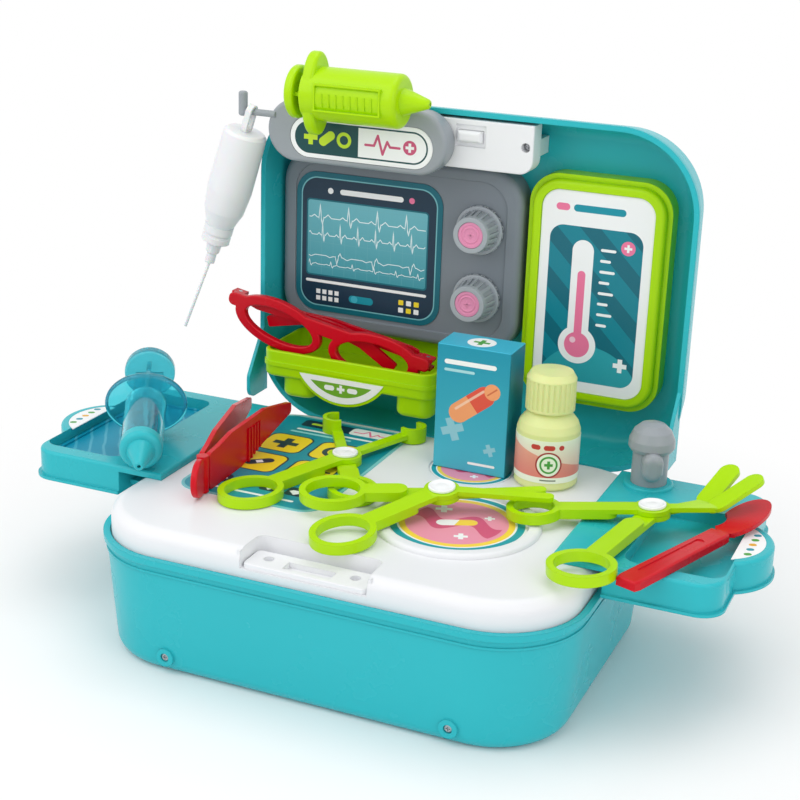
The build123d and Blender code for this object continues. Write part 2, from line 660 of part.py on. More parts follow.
def bar(start, end, width, z_low, z_high):
    """Flat bar with round ends between two plan points."""
    length = hypot(end[0] - start[0], end[1] - start[1])
    angle = degrees(atan2(end[1] - start[1], end[0] - start[0]))
    mid = ((start[0] + end[0]) / 2, (start[1] + end[1]) / 2)
    sketch = SlotCenterToCenter(length, width)
    return Pos(mid[0], mid[1], z_low) * Rot(0, 0, angle) * extrude(sketch, z_high - z_low)


def tool_arm(level, jaw_angle, jaw_length, handle_angle, handle_length, ring, tip):
    """One half of a tool: pivot plate, jaw and handle. Level 0 lies below level 1."""
    z_low = 0.0 if level == 0 else TOOL_T / 2 + 0.05
    z_high = TOOL_T / 2 - 0.05 if level == 0 else TOOL_T
    arm = Pos(0, 0, z_low) * Cylinder(TOOL_PIVOT_R, z_high - z_low,
                                      align=(Align.CENTER, Align.CENTER, Align.MIN))
    jaw_end = at_angle(jaw_length, jaw_angle)
    arm += bar(at_angle(2, jaw_angle), jaw_end, JAW_W, z_low, z_high)
    arm += bar(at_angle(2, handle_angle), at_angle(32, handle_angle), HANDLE_W, z_low, z_high)
    ring_rx, ring_ry = ring
    ring_at = at_angle(handle_length, handle_angle)
    grip_end = at_angle(handle_length - ring_rx, handle_angle)
    grip = bar(at_angle(26, handle_angle), grip_end, HANDLE_W, 0, TOOL_T)
    place = Pos(*ring_at, 0) * Rot(0, 0, handle_angle)
    grip += place * extrude(Ellipse(ring_rx, ring_ry), TOOL_T)
    grip -= place * extrude(Ellipse(ring_rx - RING_W, ring_ry - RING_W), TOOL_T)
    arm += grip
    if tip == "claw":
        arm += claw_tip(level, jaw_angle, jaw_end)
    if tip == "spoon":
        arm += spoon_tip(jaw_angle, jaw_end, z_low)
    hole = RIVET_R if level == 0 else RIVET_R + RUN_FIT
    return arm - Cylinder(hole, 60)


def claw_tip(level, jaw_angle, jaw_end):
    """Half-round cup at the end of a jaw, open towards the other jaw."""
    inward = jaw_angle + (-90 if level == 0 else 90)
    cup = extrude(Circle(9) - Circle(6.4), CLAW_TALL)
    cup &= Pos(-4.0, 0, 0) * Box(13, 20, 60)
    centre_x, centre_y = at_angle(7.6, jaw_angle)
    return Pos(jaw_end[0] + centre_x, jaw_end[1] + centre_y, 0) * Rot(0, 0, inward) * cup


def spoon_tip(jaw_angle, jaw_end, z_low):
    """Flat paddle that bends sideways and rises from a jaw's end."""
    bend = radians(jaw_angle + 26)
    direction = Vector(cos(bend), sin(bend), 0.42).normalized()
    side = Vector(-sin(bend), cos(bend), 0)
    plane = Plane(origin=(jaw_end[0], jaw_end[1], z_low), x_dir=direction, z_dir=direction.cross(side))
    paddle = Pos(17, 0) * SlotOverall(37, 12.5) + Pos(3, 0) * SlotOverall(12, JAW_W)
    return plane * extrude(paddle, 2.6)


def rivet():
    """Cap and stem that hold the two arms together."""
    cap = Pos(0, 0, TOOL_T + 0.1) * Cylinder(8, 1.8, align=(Align.CENTER, Align.CENTER, Align.MIN))
    cap = fillet(cap.edges().group_by(Axis.Z)[-1], 1.2)
    stem = Pos(0, 0, 0.4) * Cylinder(RIVET_R, TOOL_T, align=(Align.CENTER, Align.CENTER, Align.MIN))
    return cap + stem


def resting_plane(pivot, points):
    """Plane through three resting points, with its origin above the pivot's plan point."""
    first, second, third = (Vector(*point) for point in points)
    normal = (second - first).cross(third - first).normalized()
    if normal.Z < 0:
        normal = normal * -1
    height = first.Z - (normal.X * (pivot[0] - first.X) + normal.Y * (pivot[1] - first.Y)) / normal.Z
    return Plane(origin=(pivot[0], pivot[1], height), x_dir=(normal.Z, 0, -normal.X), z_dir=normal)


TOOLS = {
    # name: (plane, lower arm, upper arm); an arm is jaw angle, jaw length, handle angle,
    # handle length, ring radii along and across the handle, tip
    "claw_tool": (
        Plane(origin=(-42.0, 34.5, DECK_TOP + 0.6)),
        (121.0, 50.0, -60.0, 53.0, (17.5, 15.0), "claw"),
        (69.5, 54.0, -109.0, 80.0, (21.0, 18.0), "claw"),
    ),
    "long_tool": (
        resting_plane((40.0, -7.0), ((-16.0, -28.0, 96.9), (9.0, -90.0, 90.3), (94.0, 6.0, 100.4))),
        (27.0, 58.0, -157.0, 63.5, (20.0, 17.0), "plain"),
        (13.5, 62.0, -116.0, 74.0, (20.0, 17.5), "plain"),
    ),
    "spoon_tool": (
        resting_plane((157.5, 26.0), ((77.0, 4.0, 93.1), (190.0, 45.0, 100.6), (125.0, -75.0, 94.4))),
        (44.0, 34.0, -99.8, 89.0, (18.3, 19.3), "spoon"),
        (20.0, 35.0, -161.0, 68.0, (16.0, 15.0), "spoon"),
    ),
}


# ---- tweezers ---------------------------------------------------------------
TWEEZER_TAIL = (-97.1, -47.1)
TWEEZER_LENGTH = 119.0
TWEEZER_TAIL_R = 3.6          # round root about which the arms flex
TWEEZER_TURN = {"left": 104.2, "right": 92.4}


def tweezer_arm(side):
    """Springy arm that stands on its edge; the two arms meet at the tail."""
    turn = TWEEZER_TURN[side]
    outline = Polyline(
        (3, 0), (45, 0), (TWEEZER_LENGTH, 12), (TWEEZER_LENGTH, 19), (80, 27), (33, 27), (15, 24), (3, 23),
        close=True,
    )
    upright = Plane(origin=(0, 0, 0), x_dir=(1, 0, 0), z_dir=(0, -1, 0))
    outward = 1 if side == "left" else -1
    arm = extrude(make_face(upright * outline), 1.5, both=True)
    arm = fillet(arm.edges().filter_by(Axis.Y), 3)
    for i in range(5):
        arm += Pos(55 + 4 * i, outward * 1.7, 1.2 * i) * extrude(Rectangle(1.8, 1.4), 22 - 1.2 * i)
    arm = Pos(0, outward * 1.65, 0) * arm
    if side == "left":
        arm += extrude(Circle(TWEEZER_TAIL_R), 23)
        pad = extrude(upright * Pos(-8, 11.5) * Ellipse(12.5, 11.5), 2.0, both=True)
        pad = fillet(pad.edges(), 1.0)
        arm += pad & block((-30, 0), (-5, 5), (0, 30))
    else:
        arm -= Cylinder(TWEEZER_TAIL_R + RUN_FIT, 200)
    return Pos(TWEEZER_TAIL[0], TWEEZER_TAIL[1], DECK_TOP + 0.6) * Rot(0, 0, turn) * arm


# ---- glasses ----------------------------------------------------------------
GLASSES_TURN = 10.2           # the folded glasses slope down to the right
GLASSES_AT = (-89.4, 103.0, 145.5)
GLASSES_HALF = 75.0
HINGE_IN = 4.5                # temple pins, in from the ends and behind the front
HINGE_BACK = 6.0


def glasses_place():
    return Pos(*GLASSES_AT) * Rot(0, GLASSES_TURN, 0)


def glasses_front():
    """Two eye-shaped rims and a bridge, with a hinge fork behind each end."""
    rims = Sketch()
    holes = Sketch()
    for side in (-1, 1):
        rims += Pos(side * 36, -1) * Rot(0, 0, side * 6) * Ellipse(33, 16.5)
        holes += Pos(side * 35, -1.5) * Rot(0, 0, side * 6) * Ellipse(26, 10.5)
    brow = Pos(0, 6.5) * RectangleRounded(2 * GLASSES_HALF, 9, 4)
    front = wall_plate(rims + brow - holes, -2.2, 2.2)
    front = fillet(front.faces().sort_by(Axis.Y)[0].edges(), 1.0)
    for side in (-1, 1):
        x_range = sorted((side * (GLASSES_HALF - 9), side * GLASSES_HALF))
        ear = block(x_range, (2, 9.5), (2.5, 10.5))
        ear -= block((x_range[0] - 1, x_range[1] + 1), (2.4, 10), (4.5, 8.5))
        x_pin = side * (GLASSES_HALF - HINGE_IN)
        front += ear
        front -= rod((x_pin, HINGE_BACK, 0), (x_pin, HINGE_BACK, 20), 1.3)
    return glasses_place() * front


def temple(side):
    """Folded ear piece behind the front, hinged in the fork at one end."""
    x_pin = side * (GLASSES_HALF - HINGE_IN)
    reach = 118.0
    level = 0.0 if side < 0 else 6.0
    y_low, y_high = (HINGE_BACK - 1.4 + level, HINGE_BACK + 1.4 + level)
    body = Pos(x_pin, HINGE_BACK, 4.6) * Cylinder(2.6, 3.8, align=(Align.CENTER, Align.CENTER, Align.MIN))
    bend = x_pin - side * 9
    start, stop = sorted((x_pin - side, bend))
    body += block((start, stop), (HINGE_BACK - 1.4, y_high), (4.6, 8.4))
    outline = Polyline(
        (0, 3.2), (6, 2.0), (60, 4.2), (84, 0.5), (reach - 9, -9.5), (reach - 6, -2.5),
        (88, 8.2), (66, 11.2), (6, 11.0), (0, 9.8), close=True,
    )
    arm = extrude(facing(0, y_low, 0) * make_face(outline), amount=y_high - y_low, dir=(0, 1, 0))
    arm = fillet(arm.edges().filter_by(Axis.Y), 1.4)
    if side > 0:
        arm = mirror(arm, about=Plane.YZ)
    body += Pos(bend, 0, 0) * arm
    body -= Pos(x_pin, HINGE_BACK, 0) * Cylinder(1.3 + RUN_FIT, 60)
    return glasses_place() * body


def temple_pins():
    pins = []
    for side in (-1, 1):
        x_pin = side * (GLASSES_HALF - HINGE_IN)
        pins.append(glasses_place() * rod((x_pin, HINGE_BACK, 2.5), (x_pin, HINGE_BACK, 10.5), 1.3))
    return pins


# ---- scalpel, carton, pill bottle -------------------------------------------
SCALPEL_START = (167.6, -65.6)
SCALPEL_TURN = 70.5
SCALPEL_Z = TRAY_TOP + 0.1
BLADE_LIFT = 7.0              # the blade rises from the handle by this many degrees


def scalpel_place():
    return Pos(SCALPEL_START[0], SCALPEL_START[1], SCALPEL_Z) * Rot(0, 0, SCALPEL_TURN)


def scalpel_handle():
    outline = Polyline((0, -6), (4, -7), (88, -6.5), (92, -6), (92, 6), (4, 7), (0, 6), close=True)
    handle = extrude(make_face(outline), 5.4)
    handle = fillet(handle.edges().group_by(Axis.Z)[-1], 1.4)
    handle -= Pos(84, 0, 1.2) * Box(10, 4.0, 2.8, align=(Align.MIN, Align.CENTER, Align.MIN))
    handle -= Pos(43, 0, 4.8) * extrude(SlotOverall(60, 5), 2)
    return scalpel_place() * handle


def scalpel_blade():
    """Rounded blade that curves up from its tang."""
    tang = Polyline((84.2, -1.9), (84.2, 1.9), (92.4, 1.9), (97, 6), (97, -7), (92.4, -1.9), close=True)
    leaf = Pos(22, 0) * Ellipse(25, 10.5) - Pos(9, 17) * Circle(12)
    leaf &= Pos(25, 0) * Rectangle(50, 40)
    blade = extrude(make_face(tang), 2.6)
    blade += Pos(95, 0, 0) * Rot(0, -BLADE_LIFT, 0) * extrude(leaf, 2.6)
    return scalpel_place() * Pos(0, 0, 1.3) * blade


CARTON = ((8.0, 56.0), (58.0, 84.0), (DECK_TOP, 171.0))
JAR_AT = (79.5, 67.0)
JAR_R = 19.5


def carton():
    box = block(*CARTON)
    return fillet(box.edges(), 0.7)


def pill_bottle():
    jar = profile((0, 90), (JAR_R - 2, 90), (JAR_R, 92), (JAR_R, 126), (JAR_R - 1.5, 130.5), (14, 135.5),
                  (12.6, 137), (12.6, 156), (0, 156))
    jar -= profile((0, 93), (JAR_R - 3, 93), (JAR_R - 3, 127), (10, 136), (10, 157), (0, 157))
    return Pos(*JAR_AT, 0) * jar


def bottle_label():
    band = profile((JAR_R, 96), (JAR_R + 0.3, 96), (JAR_R + 0.3, 123), (JAR_R, 123))
    return Pos(*JAR_AT, 0) * band


def bottle_cap():
    cap = profile((0, 158.5), (12.6 + RUN_FIT, 158.5), (12.6 + RUN_FIT, 138.2), (15.2, 138.2), (15.2, 158),
                  (12.8, 162), (0, 163))
    ribs = 28
    for i in range(ribs):
        x, y = at_angle(15.3, 360 / ribs * i)
        cap -= Pos(x, y, 140) * Cylinder(0.6, 17, align=(Align.CENTER, Align.CENTER, Align.MIN))
    return Pos(*JAR_AT, 0) * cap


def main():
    os.makedirs("parts", exist_ok=True)
    write("base_tub", base_tub())
    write("deck", deck())
    write("latch_plate", latch_plate())
    write("deck_sheet", deck_sheet())
    write("ring_sheet", ring_sheet())
    write("disc_sheet", disc_sheet())
    write("hinge_pins", *hinge_pins())
    write("lid_shell", lid_shell())
    write("latch_block", latch_block())
    write("latch_tongue", latch_tongue())
    write("monitor_housing", monitor_housing())
    write("monitor_label", monitor_label())
    for name, z in zip(("upper", "lower"), KNOB_ZS):
        write(f"knob_{name}", knob(z))
        write(f"knob_cap_{name}", knob_cap(z))
    write("picture_frame", picture_frame())
    write("picture_card", picture_card())
    write("shelf", shelf())
    write("shelf_label", shelf_label())
    write("sign_arm", sign_arm())
    write("sign_label", sign_label())
    write("drip_bottle", drip_bottle())
    write("drip_cap", drip_cap())
    write("drip_needle", drip_needle())
    lime, clear = syringe_place(), clear_place()
    write("lime_barrel", syringe_barrel(lime, SYRINGE_R, 17, 64, (29, 52, 8), 13.6, True))
    write("lime_plunger", plunger(lime, 25.5, 13.6 - RUN_FIT, 86.0, 16.6, 6))
    write("clear_barrel", syringe_barrel(clear, 13.0, 18, 66, (52, 43, 5), 10.6, False))
    write("clear_plunger", plunger(clear, 62, 10.6 - RUN_FIT, 124, 16.5, 8))
    left = Pos(-LEFT_TRAY_OUT, 0, 0)
    label = Pos(0, 0, -LABEL_DEEP) * tray_label()
    write("tray_left", left * mirrored(tray((-32.0, 86.0), False)))
    write("tray_right", tray((-32.0, 58.0), True))
    write("tray_label_left", left * mirrored(label))
    write("tray_label_right", label)
    write("water_window", left * mirrored(water_window()))
    write("faucet_post", faucet_post())
    write("faucet_spout", faucet_spout())
    for name, (plane, lower, upper) in TOOLS.items():
        write(f"{name}_lower", plane * tool_arm(0, *lower))
        write(f"{name}_upper", plane * tool_arm(1, *upper))
        write(f"{name}_rivet", plane * rivet())
    for side in ("left", "right"):
        write(f"tweezer_{side}", tweezer_arm(side))
    write("glasses_front", glasses_front())
    write("temple_left", temple(-1))
    write("temple_right", temple(1))
    write("temple_pins", *temple_pins())
    write("scalpel_handle", scalpel_handle())
    write("scalpel_blade", scalpel_blade())
    write("carton", carton())
    write("pill_bottle", pill_bottle())
    write("bottle_label", bottle_label())
    write("bottle_cap", bottle_cap())


main()
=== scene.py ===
"""Toy doctor case: finishes, printed sheets, small pieces and stage around the packed model."""

import functools
import math

import bpy
from mathutils import Matrix, Vector


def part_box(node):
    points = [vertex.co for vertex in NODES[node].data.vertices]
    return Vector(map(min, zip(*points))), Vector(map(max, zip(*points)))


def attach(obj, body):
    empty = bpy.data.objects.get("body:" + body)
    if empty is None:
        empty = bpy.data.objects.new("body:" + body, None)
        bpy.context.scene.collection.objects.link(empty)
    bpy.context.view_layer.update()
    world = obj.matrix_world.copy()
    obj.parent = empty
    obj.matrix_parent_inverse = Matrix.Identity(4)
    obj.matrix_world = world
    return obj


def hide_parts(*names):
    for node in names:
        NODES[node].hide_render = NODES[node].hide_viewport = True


bl_info = {
    "name": "Toy Doctor Case",
    "version": (1, 0, 0),
    "blender": (4, 5, 0),
    "location": "View3D > Sidebar > Doctor Case",
    "description": "Moulded plastics, printed sheets and small parts of a toy doctor case",
    "category": "Object",
}

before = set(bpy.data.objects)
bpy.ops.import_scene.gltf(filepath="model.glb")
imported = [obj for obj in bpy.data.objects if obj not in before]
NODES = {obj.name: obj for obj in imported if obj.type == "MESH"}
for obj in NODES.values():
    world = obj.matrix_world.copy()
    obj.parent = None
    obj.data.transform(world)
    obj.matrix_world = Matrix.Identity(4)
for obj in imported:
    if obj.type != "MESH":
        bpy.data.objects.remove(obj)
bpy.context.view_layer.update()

MM = 0.001
MM_PER_METRE = 1000
FORWARDS = (0, -1, 0)
UPWARDS = (0, 0, 1)
SMOOTH_ANGLE = math.radians(35)

# clear syringe: its nozzle's tip in millimetres, and the way the barrel leads from there
BARREL_TIP = (-131.4, -62.8, 105.4)
BARREL_HEADING = math.radians(118.6)
BARREL_RISE = math.radians(7.8)
BARREL_AXIS = (
    math.cos(BARREL_HEADING) * math.cos(BARREL_RISE),
    math.sin(BARREL_HEADING) * math.cos(BARREL_RISE),
    math.sin(BARREL_RISE),
)
NOZZLE_LENGTH = 27.0

# one heartbeat: place, half width and height of each wave, as shares of its period and height
HEARTBEAT = ((0.5, 0.045, 1.0), (0.585, 0.05, -0.55), (0.3, 0.1, 0.2), (0.78, 0.12, 0.28))

# each tool's pivot: the middle of its seat in metres, and the way up from it
RIVET_SEATS = {
    "claw": ((-0.042, 0.0345, 0.0906), UPWARDS),
    "long": ((0.040, -0.007, 0.09907), (0.00096, -0.10547, 0.99442)),
    "spoon": ((0.1575, 0.026, 0.09830), (-0.05916, -0.01952, 0.99806)),
}

# camera: its place in metres, its angles round the case in degrees, its sensor in millimetres
CAMERA_AT = (0.3496, -0.8156, 0.4630)
CAMERA_ANGLES = (22.7, 19.4, 2.0)
CAMERA_REACH = (0.05, 20)
SENSOR_WIDTH = 36
LAMP_AIM = (0, 0, 0.12)


def linear(value):
    """Linear share of one screen value of 0 to 255."""
    share = value / 255
    return share / 12.92 if share <= 0.04045 else ((share + 0.055) / 1.055) ** 2.4


def paint(red, green, blue):
    """Linear colour from screen values of 0 to 255."""
    return (linear(red), linear(green), linear(blue), 1.0)


def tone(colour, factor):
    """The same colour, lighter or darker."""
    return (*[min(1.0, channel * factor) for channel in colour[:3]], 1.0)


WHITE = paint(246, 247, 248)
NAVY = paint(14, 50, 72)
DEEP_TEAL = paint(0, 104, 120)
TEAL = paint(0, 146, 166)
SKY = paint(60, 178, 198)
PINK = paint(240, 120, 160)
ROSE = paint(204, 84, 122)
YELLOW = paint(250, 222, 40)
LEAF = paint(70, 160, 60)
APRICOT = paint(244, 160, 108)
LIGHT = (1, 1, 1, 1)


# ---- shader expressions ---------------------------------------------------------
class Value:
    """A shader socket that can be added, multiplied and compared like a number."""

    def __init__(self, shader, socket):
        self.shader = shader
        self.socket = socket

    def math(self, operation, *others, clamp=False):
        settings = {"operation": operation, "use_clamp": clamp}
        return self.shader.node("ShaderNodeMath", settings, dict(enumerate((self, *others))))

    def __add__(self, other):
        return self.math("ADD", other)

    __radd__ = __add__

    def __sub__(self, other):
        return self.math("SUBTRACT", other)

    def __rsub__(self, other):
        return self.shader.node("ShaderNodeMath", {"operation": "SUBTRACT"}, {0: other, 1: self})

    def __mul__(self, other):
        return self.math("MULTIPLY", other)

    __rmul__ = __mul__

    def __truediv__(self, other):
        return self.math("DIVIDE", other)

    def __neg__(self):
        return self * -1

    def __abs__(self):
        return self.math("ABSOLUTE")

    def low(self, other):
        return self.math("MINIMUM", other)

    def high(self, other):
        return self.math("MAXIMUM", other)

    def fraction(self):
        return self.math("FRACT")

    def sine(self):
        return self.math("SINE")

    def root(self):
        return self.math("SQRT")

    def clamped(self):
        return self.math("MULTIPLY", 1.0, clamp=True)

    def length(self, other):
        """Length of the vector whose two parts are this and the other value."""
        return (self * self + other * other).root()

    def from_nearest(self, step, shift=0.0):
        """Distance to the nearest of evenly spaced places; shift moves them, in steps."""
        return abs((self / step + shift).fraction() - 0.5) * step


class Shader:
    """The node tree of one material, or of the sky."""

    def __init__(self, name):
        self.material = bpy.data.materials.new(name)
        self.material.use_nodes = True
        self.start(self.material.node_tree)

    @classmethod
    def on(cls, tree):
        shader = cls.__new__(cls)
        shader.start(tree)
        return shader

    def start(self, tree):
        self.tree = tree
        self.tree.nodes.clear()
        self.position = self.node("ShaderNodeTexCoord", output="Object")

    def node(self, kind, settings=None, values=None, output=0):
        """A node with its settings and then its sockets, given as values or links."""
        node = self.tree.nodes.new(kind)
        for key, setting in (settings or {}).items():
            setattr(node, key, setting)
        for key, value in (values or {}).items():
            if isinstance(value, Value):
                self.tree.links.new(value.socket, node.inputs[key])
            else:
                node.inputs[key].default_value = value
        return Value(self, node.outputs[output]) if node.outputs else None

    def outputs(self, kind, names, values=None):
        """Several outputs of one node."""
        sockets = self.node(kind, {}, values).socket.node.outputs
        return [Value(self, sockets[name]) for name in names]

    def seen_directly(self):
        """1 for what the camera sees itself, in a mirror or through clear plastic."""
        names = ("Is Camera Ray", "Is Glossy Ray", "Is Transmission Ray")
        return functools.reduce(Value.high, self.outputs("ShaderNodeLightPath", names))

    def axes(self):
        """X, Y and Z in millimetres."""
        parts = self.outputs("ShaderNodeSeparateXYZ", "XYZ", {0: self.position})
        return [part * MM_PER_METRE for part in parts]

    def noise(self, scale, detail=2.0, stretch=None):
        """Noise from 0 to 1; scale is in features per metre."""
        vector = self.position
        if stretch:
            vector = self.node("ShaderNodeMapping", {}, {"Vector": vector, "Scale": stretch})
        values = {"Vector": vector, "Scale": scale, "Detail": detail}
        return self.node("ShaderNodeTexNoise", {}, values)

    def mix(self, mask, first, second):
        """First colour where the mask is 0, second where it is 1."""
        return self.node("ShaderNodeMix", {"data_type": "RGBA"}, {0: mask, 6: first, 7: second}, 2)

    def tones(self, mask, colour, dark, light):
        """Blend from a darker to a lighter tone of one colour."""
        return self.mix(mask, tone(colour, dark), tone(colour, light))

    def relief(self, height, distance, strength, radius):
        """Normal of a fine height pattern over softened edges; both lengths in millimetres."""
        soft = self.node("ShaderNodeBevel", {"samples": 4}, {"Radius": radius * MM})
        values = {"Height": height, "Distance": distance * MM, "Strength": strength}
        return self.node("ShaderNodeBump", {}, {**values, "Normal": soft})

    def surface(self, colour, roughness, normal, **fixed):
        """Principled surface; the fixed values are the same all over it."""
        values = {"Base Color": colour, "Roughness": roughness, "Normal": normal}
        values.update({key.replace("_", " "): value for key, value in fixed.items()})
        return self.node("ShaderNodeBsdfPrincipled", {}, values)

    def blend(self, mask, first, second):
        """First surface where the mask is 0, second where it is 1."""
        return self.node("ShaderNodeMixShader", {}, {0: mask, 1: first, 2: second})

    def finish(self, surface):
        """Sets the surface on the output; returns the material."""
        self.node("ShaderNodeOutputMaterial", {}, {"Surface": surface})
        return self.material


def moulded(name, colour, roughness, edge):
    """Moulded gloss plastic: faint flow marks, orange peel and patches rubbed by handling."""
    shader = Shader(name)
    flow = shader.noise(9.0, detail=3.0, stretch=(1.0, 1.0, 2.2))
    worn = ((shader.noise(34.0, detail=4.0) - 0.55) * 4).clamped()
    peel = shader.noise(460.0, detail=1.0)
    return shader.finish(shader.surface(
        shader.tones(flow, colour, 0.96, 1.03),
        roughness + worn * 0.08 + flow * 0.05,
        shader.relief(peel, distance=0.05, strength=0.3, radius=edge),
        Specular_IOR_Level=0.25,
    ))


def flow_lines(shader):
    """Faint lines of poured clear plastic, and the normal that they give."""
    flow = shader.noise(60.0, stretch=(1.0, 1.0, 3.0))
    return flow, shader.relief(flow, distance=0.15, strength=0.4, radius=0.4)


def clear_plastic(name, colour):
    """Clear tinted plastic with faint flow lines."""
    shader = Shader(name)
    flow, normal = flow_lines(shader)
    return shader.finish(shader.surface(
        shader.tones(flow, colour, 0.94, 1.04), 0.05 + flow * 0.04, normal,
        Transmission_Weight=0.72, IOR=1.42,
    ))


def tipped_barrel(clear_colour, tip_colour):
    """Clear barrel whose nozzle end is opaque."""
    shader = Shader("syringe_barrel")
    parts = [(axis - tip) * way for axis, tip, way in zip(shader.axes(), BARREL_TIP, BARREL_AXIS)]
    along = parts[0] + parts[1] + parts[2]
    flow, normal = flow_lines(shader)
    glass = shader.surface(
        shader.tones(flow, clear_colour, 0.94, 1.04), 0.03 + flow * 0.03, normal,
        Transmission_Weight=0.88, IOR=1.42,
    )
    solid = shader.surface(
        shader.tones(flow, tip_colour, 0.94, 1.04), 0.28 + flow * 0.06, normal,
        Specular_IOR_Level=0.32,
    )
    fade = 0.3
    return shader.finish(shader.blend(((NOZZLE_LENGTH - along) / fade).clamped(), glass, solid))


def milky_plastic(name, colour):
    """Soft blown plastic that lets a little light in."""
    shader = Shader(name)
    flow = shader.noise(26.0, detail=3.0, stretch=(1.0, 1.0, 0.4))
    return shader.finish(shader.surface(
        shader.tones(flow, colour, 0.95, 1.04),
        0.3 + flow * 0.1,
        shader.relief(flow, distance=0.3, strength=0.4, radius=0.7),
        Subsurface_Weight=0.2, Subsurface_Scale=0.004, Specular_IOR_Level=0.35,
    ))


def steel(name):
    """Turned and rubbed steel."""
    shader = Shader(name)
    rubs = shader.noise(900.0, stretch=(1.0, 6.0, 1.0))
    return shader.finish(shader.surface(
        shader.mix(rubs, paint(150, 152, 156), paint(205, 207, 210)),
        0.28 + rubs * 0.15,
        shader.relief(rubs, distance=0.02, strength=0.5, radius=0.15),
        Metallic=1.0,
    ))


def water_sheet():
    """Blue sheet with ripples under a clear film."""
    shader = Shader("water_print")
    x, y, _ = shader.axes()
    sway = shader.noise(28.0) * 9
    ripple = ((x + y * 0.6 + sway) * 0.55).sine() * 0.5 + 0.5
    crest = ((ripple - 0.86) * 9).clamped()
    pool = shader.mix(shader.noise(14.0, detail=3.0), paint(0, 128, 162), paint(0, 160, 188))
    return shader.finish(shader.surface(
        shader.mix(crest * 0.3, pool, paint(120, 214, 228)),
        0.4 - crest * 0.1,
        shader.relief(ripple, distance=0.25, strength=0.5, radius=0.4),
        Specular_IOR_Level=0.18,
    ))


# ---- printed sheets ---------------------------------------------------------------
def box_mm(node):
    """Lowest corner, highest corner and middle of a node, in millimetres."""
    low, high = (corner * MM_PER_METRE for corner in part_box(node))
    return low, high, (low + high) / 2


class Print:
    """Flat artwork: shapes laid over a ground colour. All lengths are in millimetres.

    U leads to the right and V up the sheet, from its centre. A shape is the distance to its
    edge, which is negative inside it.
    """

    def __init__(self, name, u_axis, v_axis, ground, centre):
        self.shader = Shader(name)
        self.axes = dict(zip("XYZ", self.shader.axes()))
        self.u = self.axes[u_axis] - centre[0]
        self.v = self.axes[v_axis] - centre[1]
        self.colour = ground

    def lay(self, shape, colour, feather=0.14, strength=1.0):
        """Covers the inside of the shape with a colour."""
        mask = (0.5 - shape / feather).clamped()
        if strength < 1.0:
            mask = mask * strength
        self.colour = self.shader.mix(mask, self.colour, colour)

    def turned(self, x, y, turn):
        """U and V about a point, on axes turned by so many degrees."""
        u, v = self.u - x, self.v - y
        if not turn:
            return u, v
        cosine, sine = math.cos(math.radians(turn)), math.sin(math.radians(turn))
        return u * cosine + v * sine, v * cosine - u * sine

    def panel(self, x, y, width, height, radius=0.0, turn=0.0):
        """Rectangle with rounded corners."""
        u, v = self.turned(x, y, turn)
        across = abs(u) - (width / 2 - radius)
        up = abs(v) - (height / 2 - radius)
        if not radius:
            return across.high(up)
        return across.high(0.0).length(up.high(0.0)) + across.high(up).low(0.0) - radius

    def disc(self, x, y, radius):
        return (self.u - x).length(self.v - y) - radius

    def ring(self, x, y, radius, width):
        return abs(self.disc(x, y, radius)) - width / 2

    def plus(self, x, y, size, width, turn=0.0):
        level = self.panel(x, y, size, width, 0.0, turn)
        return level.low(self.panel(x, y, width, size, 0.0, turn))

    def row(self, x, y, step, count, size):
        """Row of equal squares, folded onto one; x and y are the first one's centre."""
        u = self.u - (x + step * (count - 1) / 2)
        near = u.from_nearest(step, count / 2)
        square = (near - size / 2).high(abs(self.v - y) - size / 2)
        return square.high(abs(u) - step * count / 2)

    def stroke(self, points, width):
        """Line of even width through the points."""
        runs = []
        for (x1, y1), (x2, y2) in zip(points, points[1:]):
            turn = math.degrees(math.atan2(y2 - y1, x2 - x1))
            reach = math.hypot(x2 - x1, y2 - y1) + width
            runs.append(self.panel((x1 + x2) / 2, (y1 + y2) / 2, reach, width, width / 2, turn))
        return functools.reduce(Value.low, runs)

    def trace(self, base, period, height, phase, width):
        """Repeating heartbeat line."""
        ahead = 20
        nudge = 0.1

        def beat(u):
            share = ((u + phase) / period + ahead).fraction()
            waves = [
                (1 - abs(share - place) / reach).high(0.0) * (height * size)
                for place, reach, size in HEARTBEAT
            ]
            return waves[0] + waves[1] + waves[2] + waves[3]

        slope = (beat(self.u + nudge) - beat(self.u - nudge)) / (2 * nudge)
        return abs(self.v - base - beat(self.u)) / (slope * slope + 1).root() - width / 2

    def close(self, roughness):
        """Coated paper: fine fibre under a thin film."""
        fibre = self.shader.noise(1400.0)
        film = self.shader.noise(30.0)
        dust = (0.3, 0.3, 0.3, 1.0)
        return self.shader.finish(self.shader.surface(
            self.shader.mix(fibre * 0.03, self.colour, dust),
            roughness + film * 0.1,
            self.shader.relief(fibre * 0.3 + film, distance=0.04, strength=0.3, radius=0.15),
            Specular_IOR_Level=0.35,
        ))


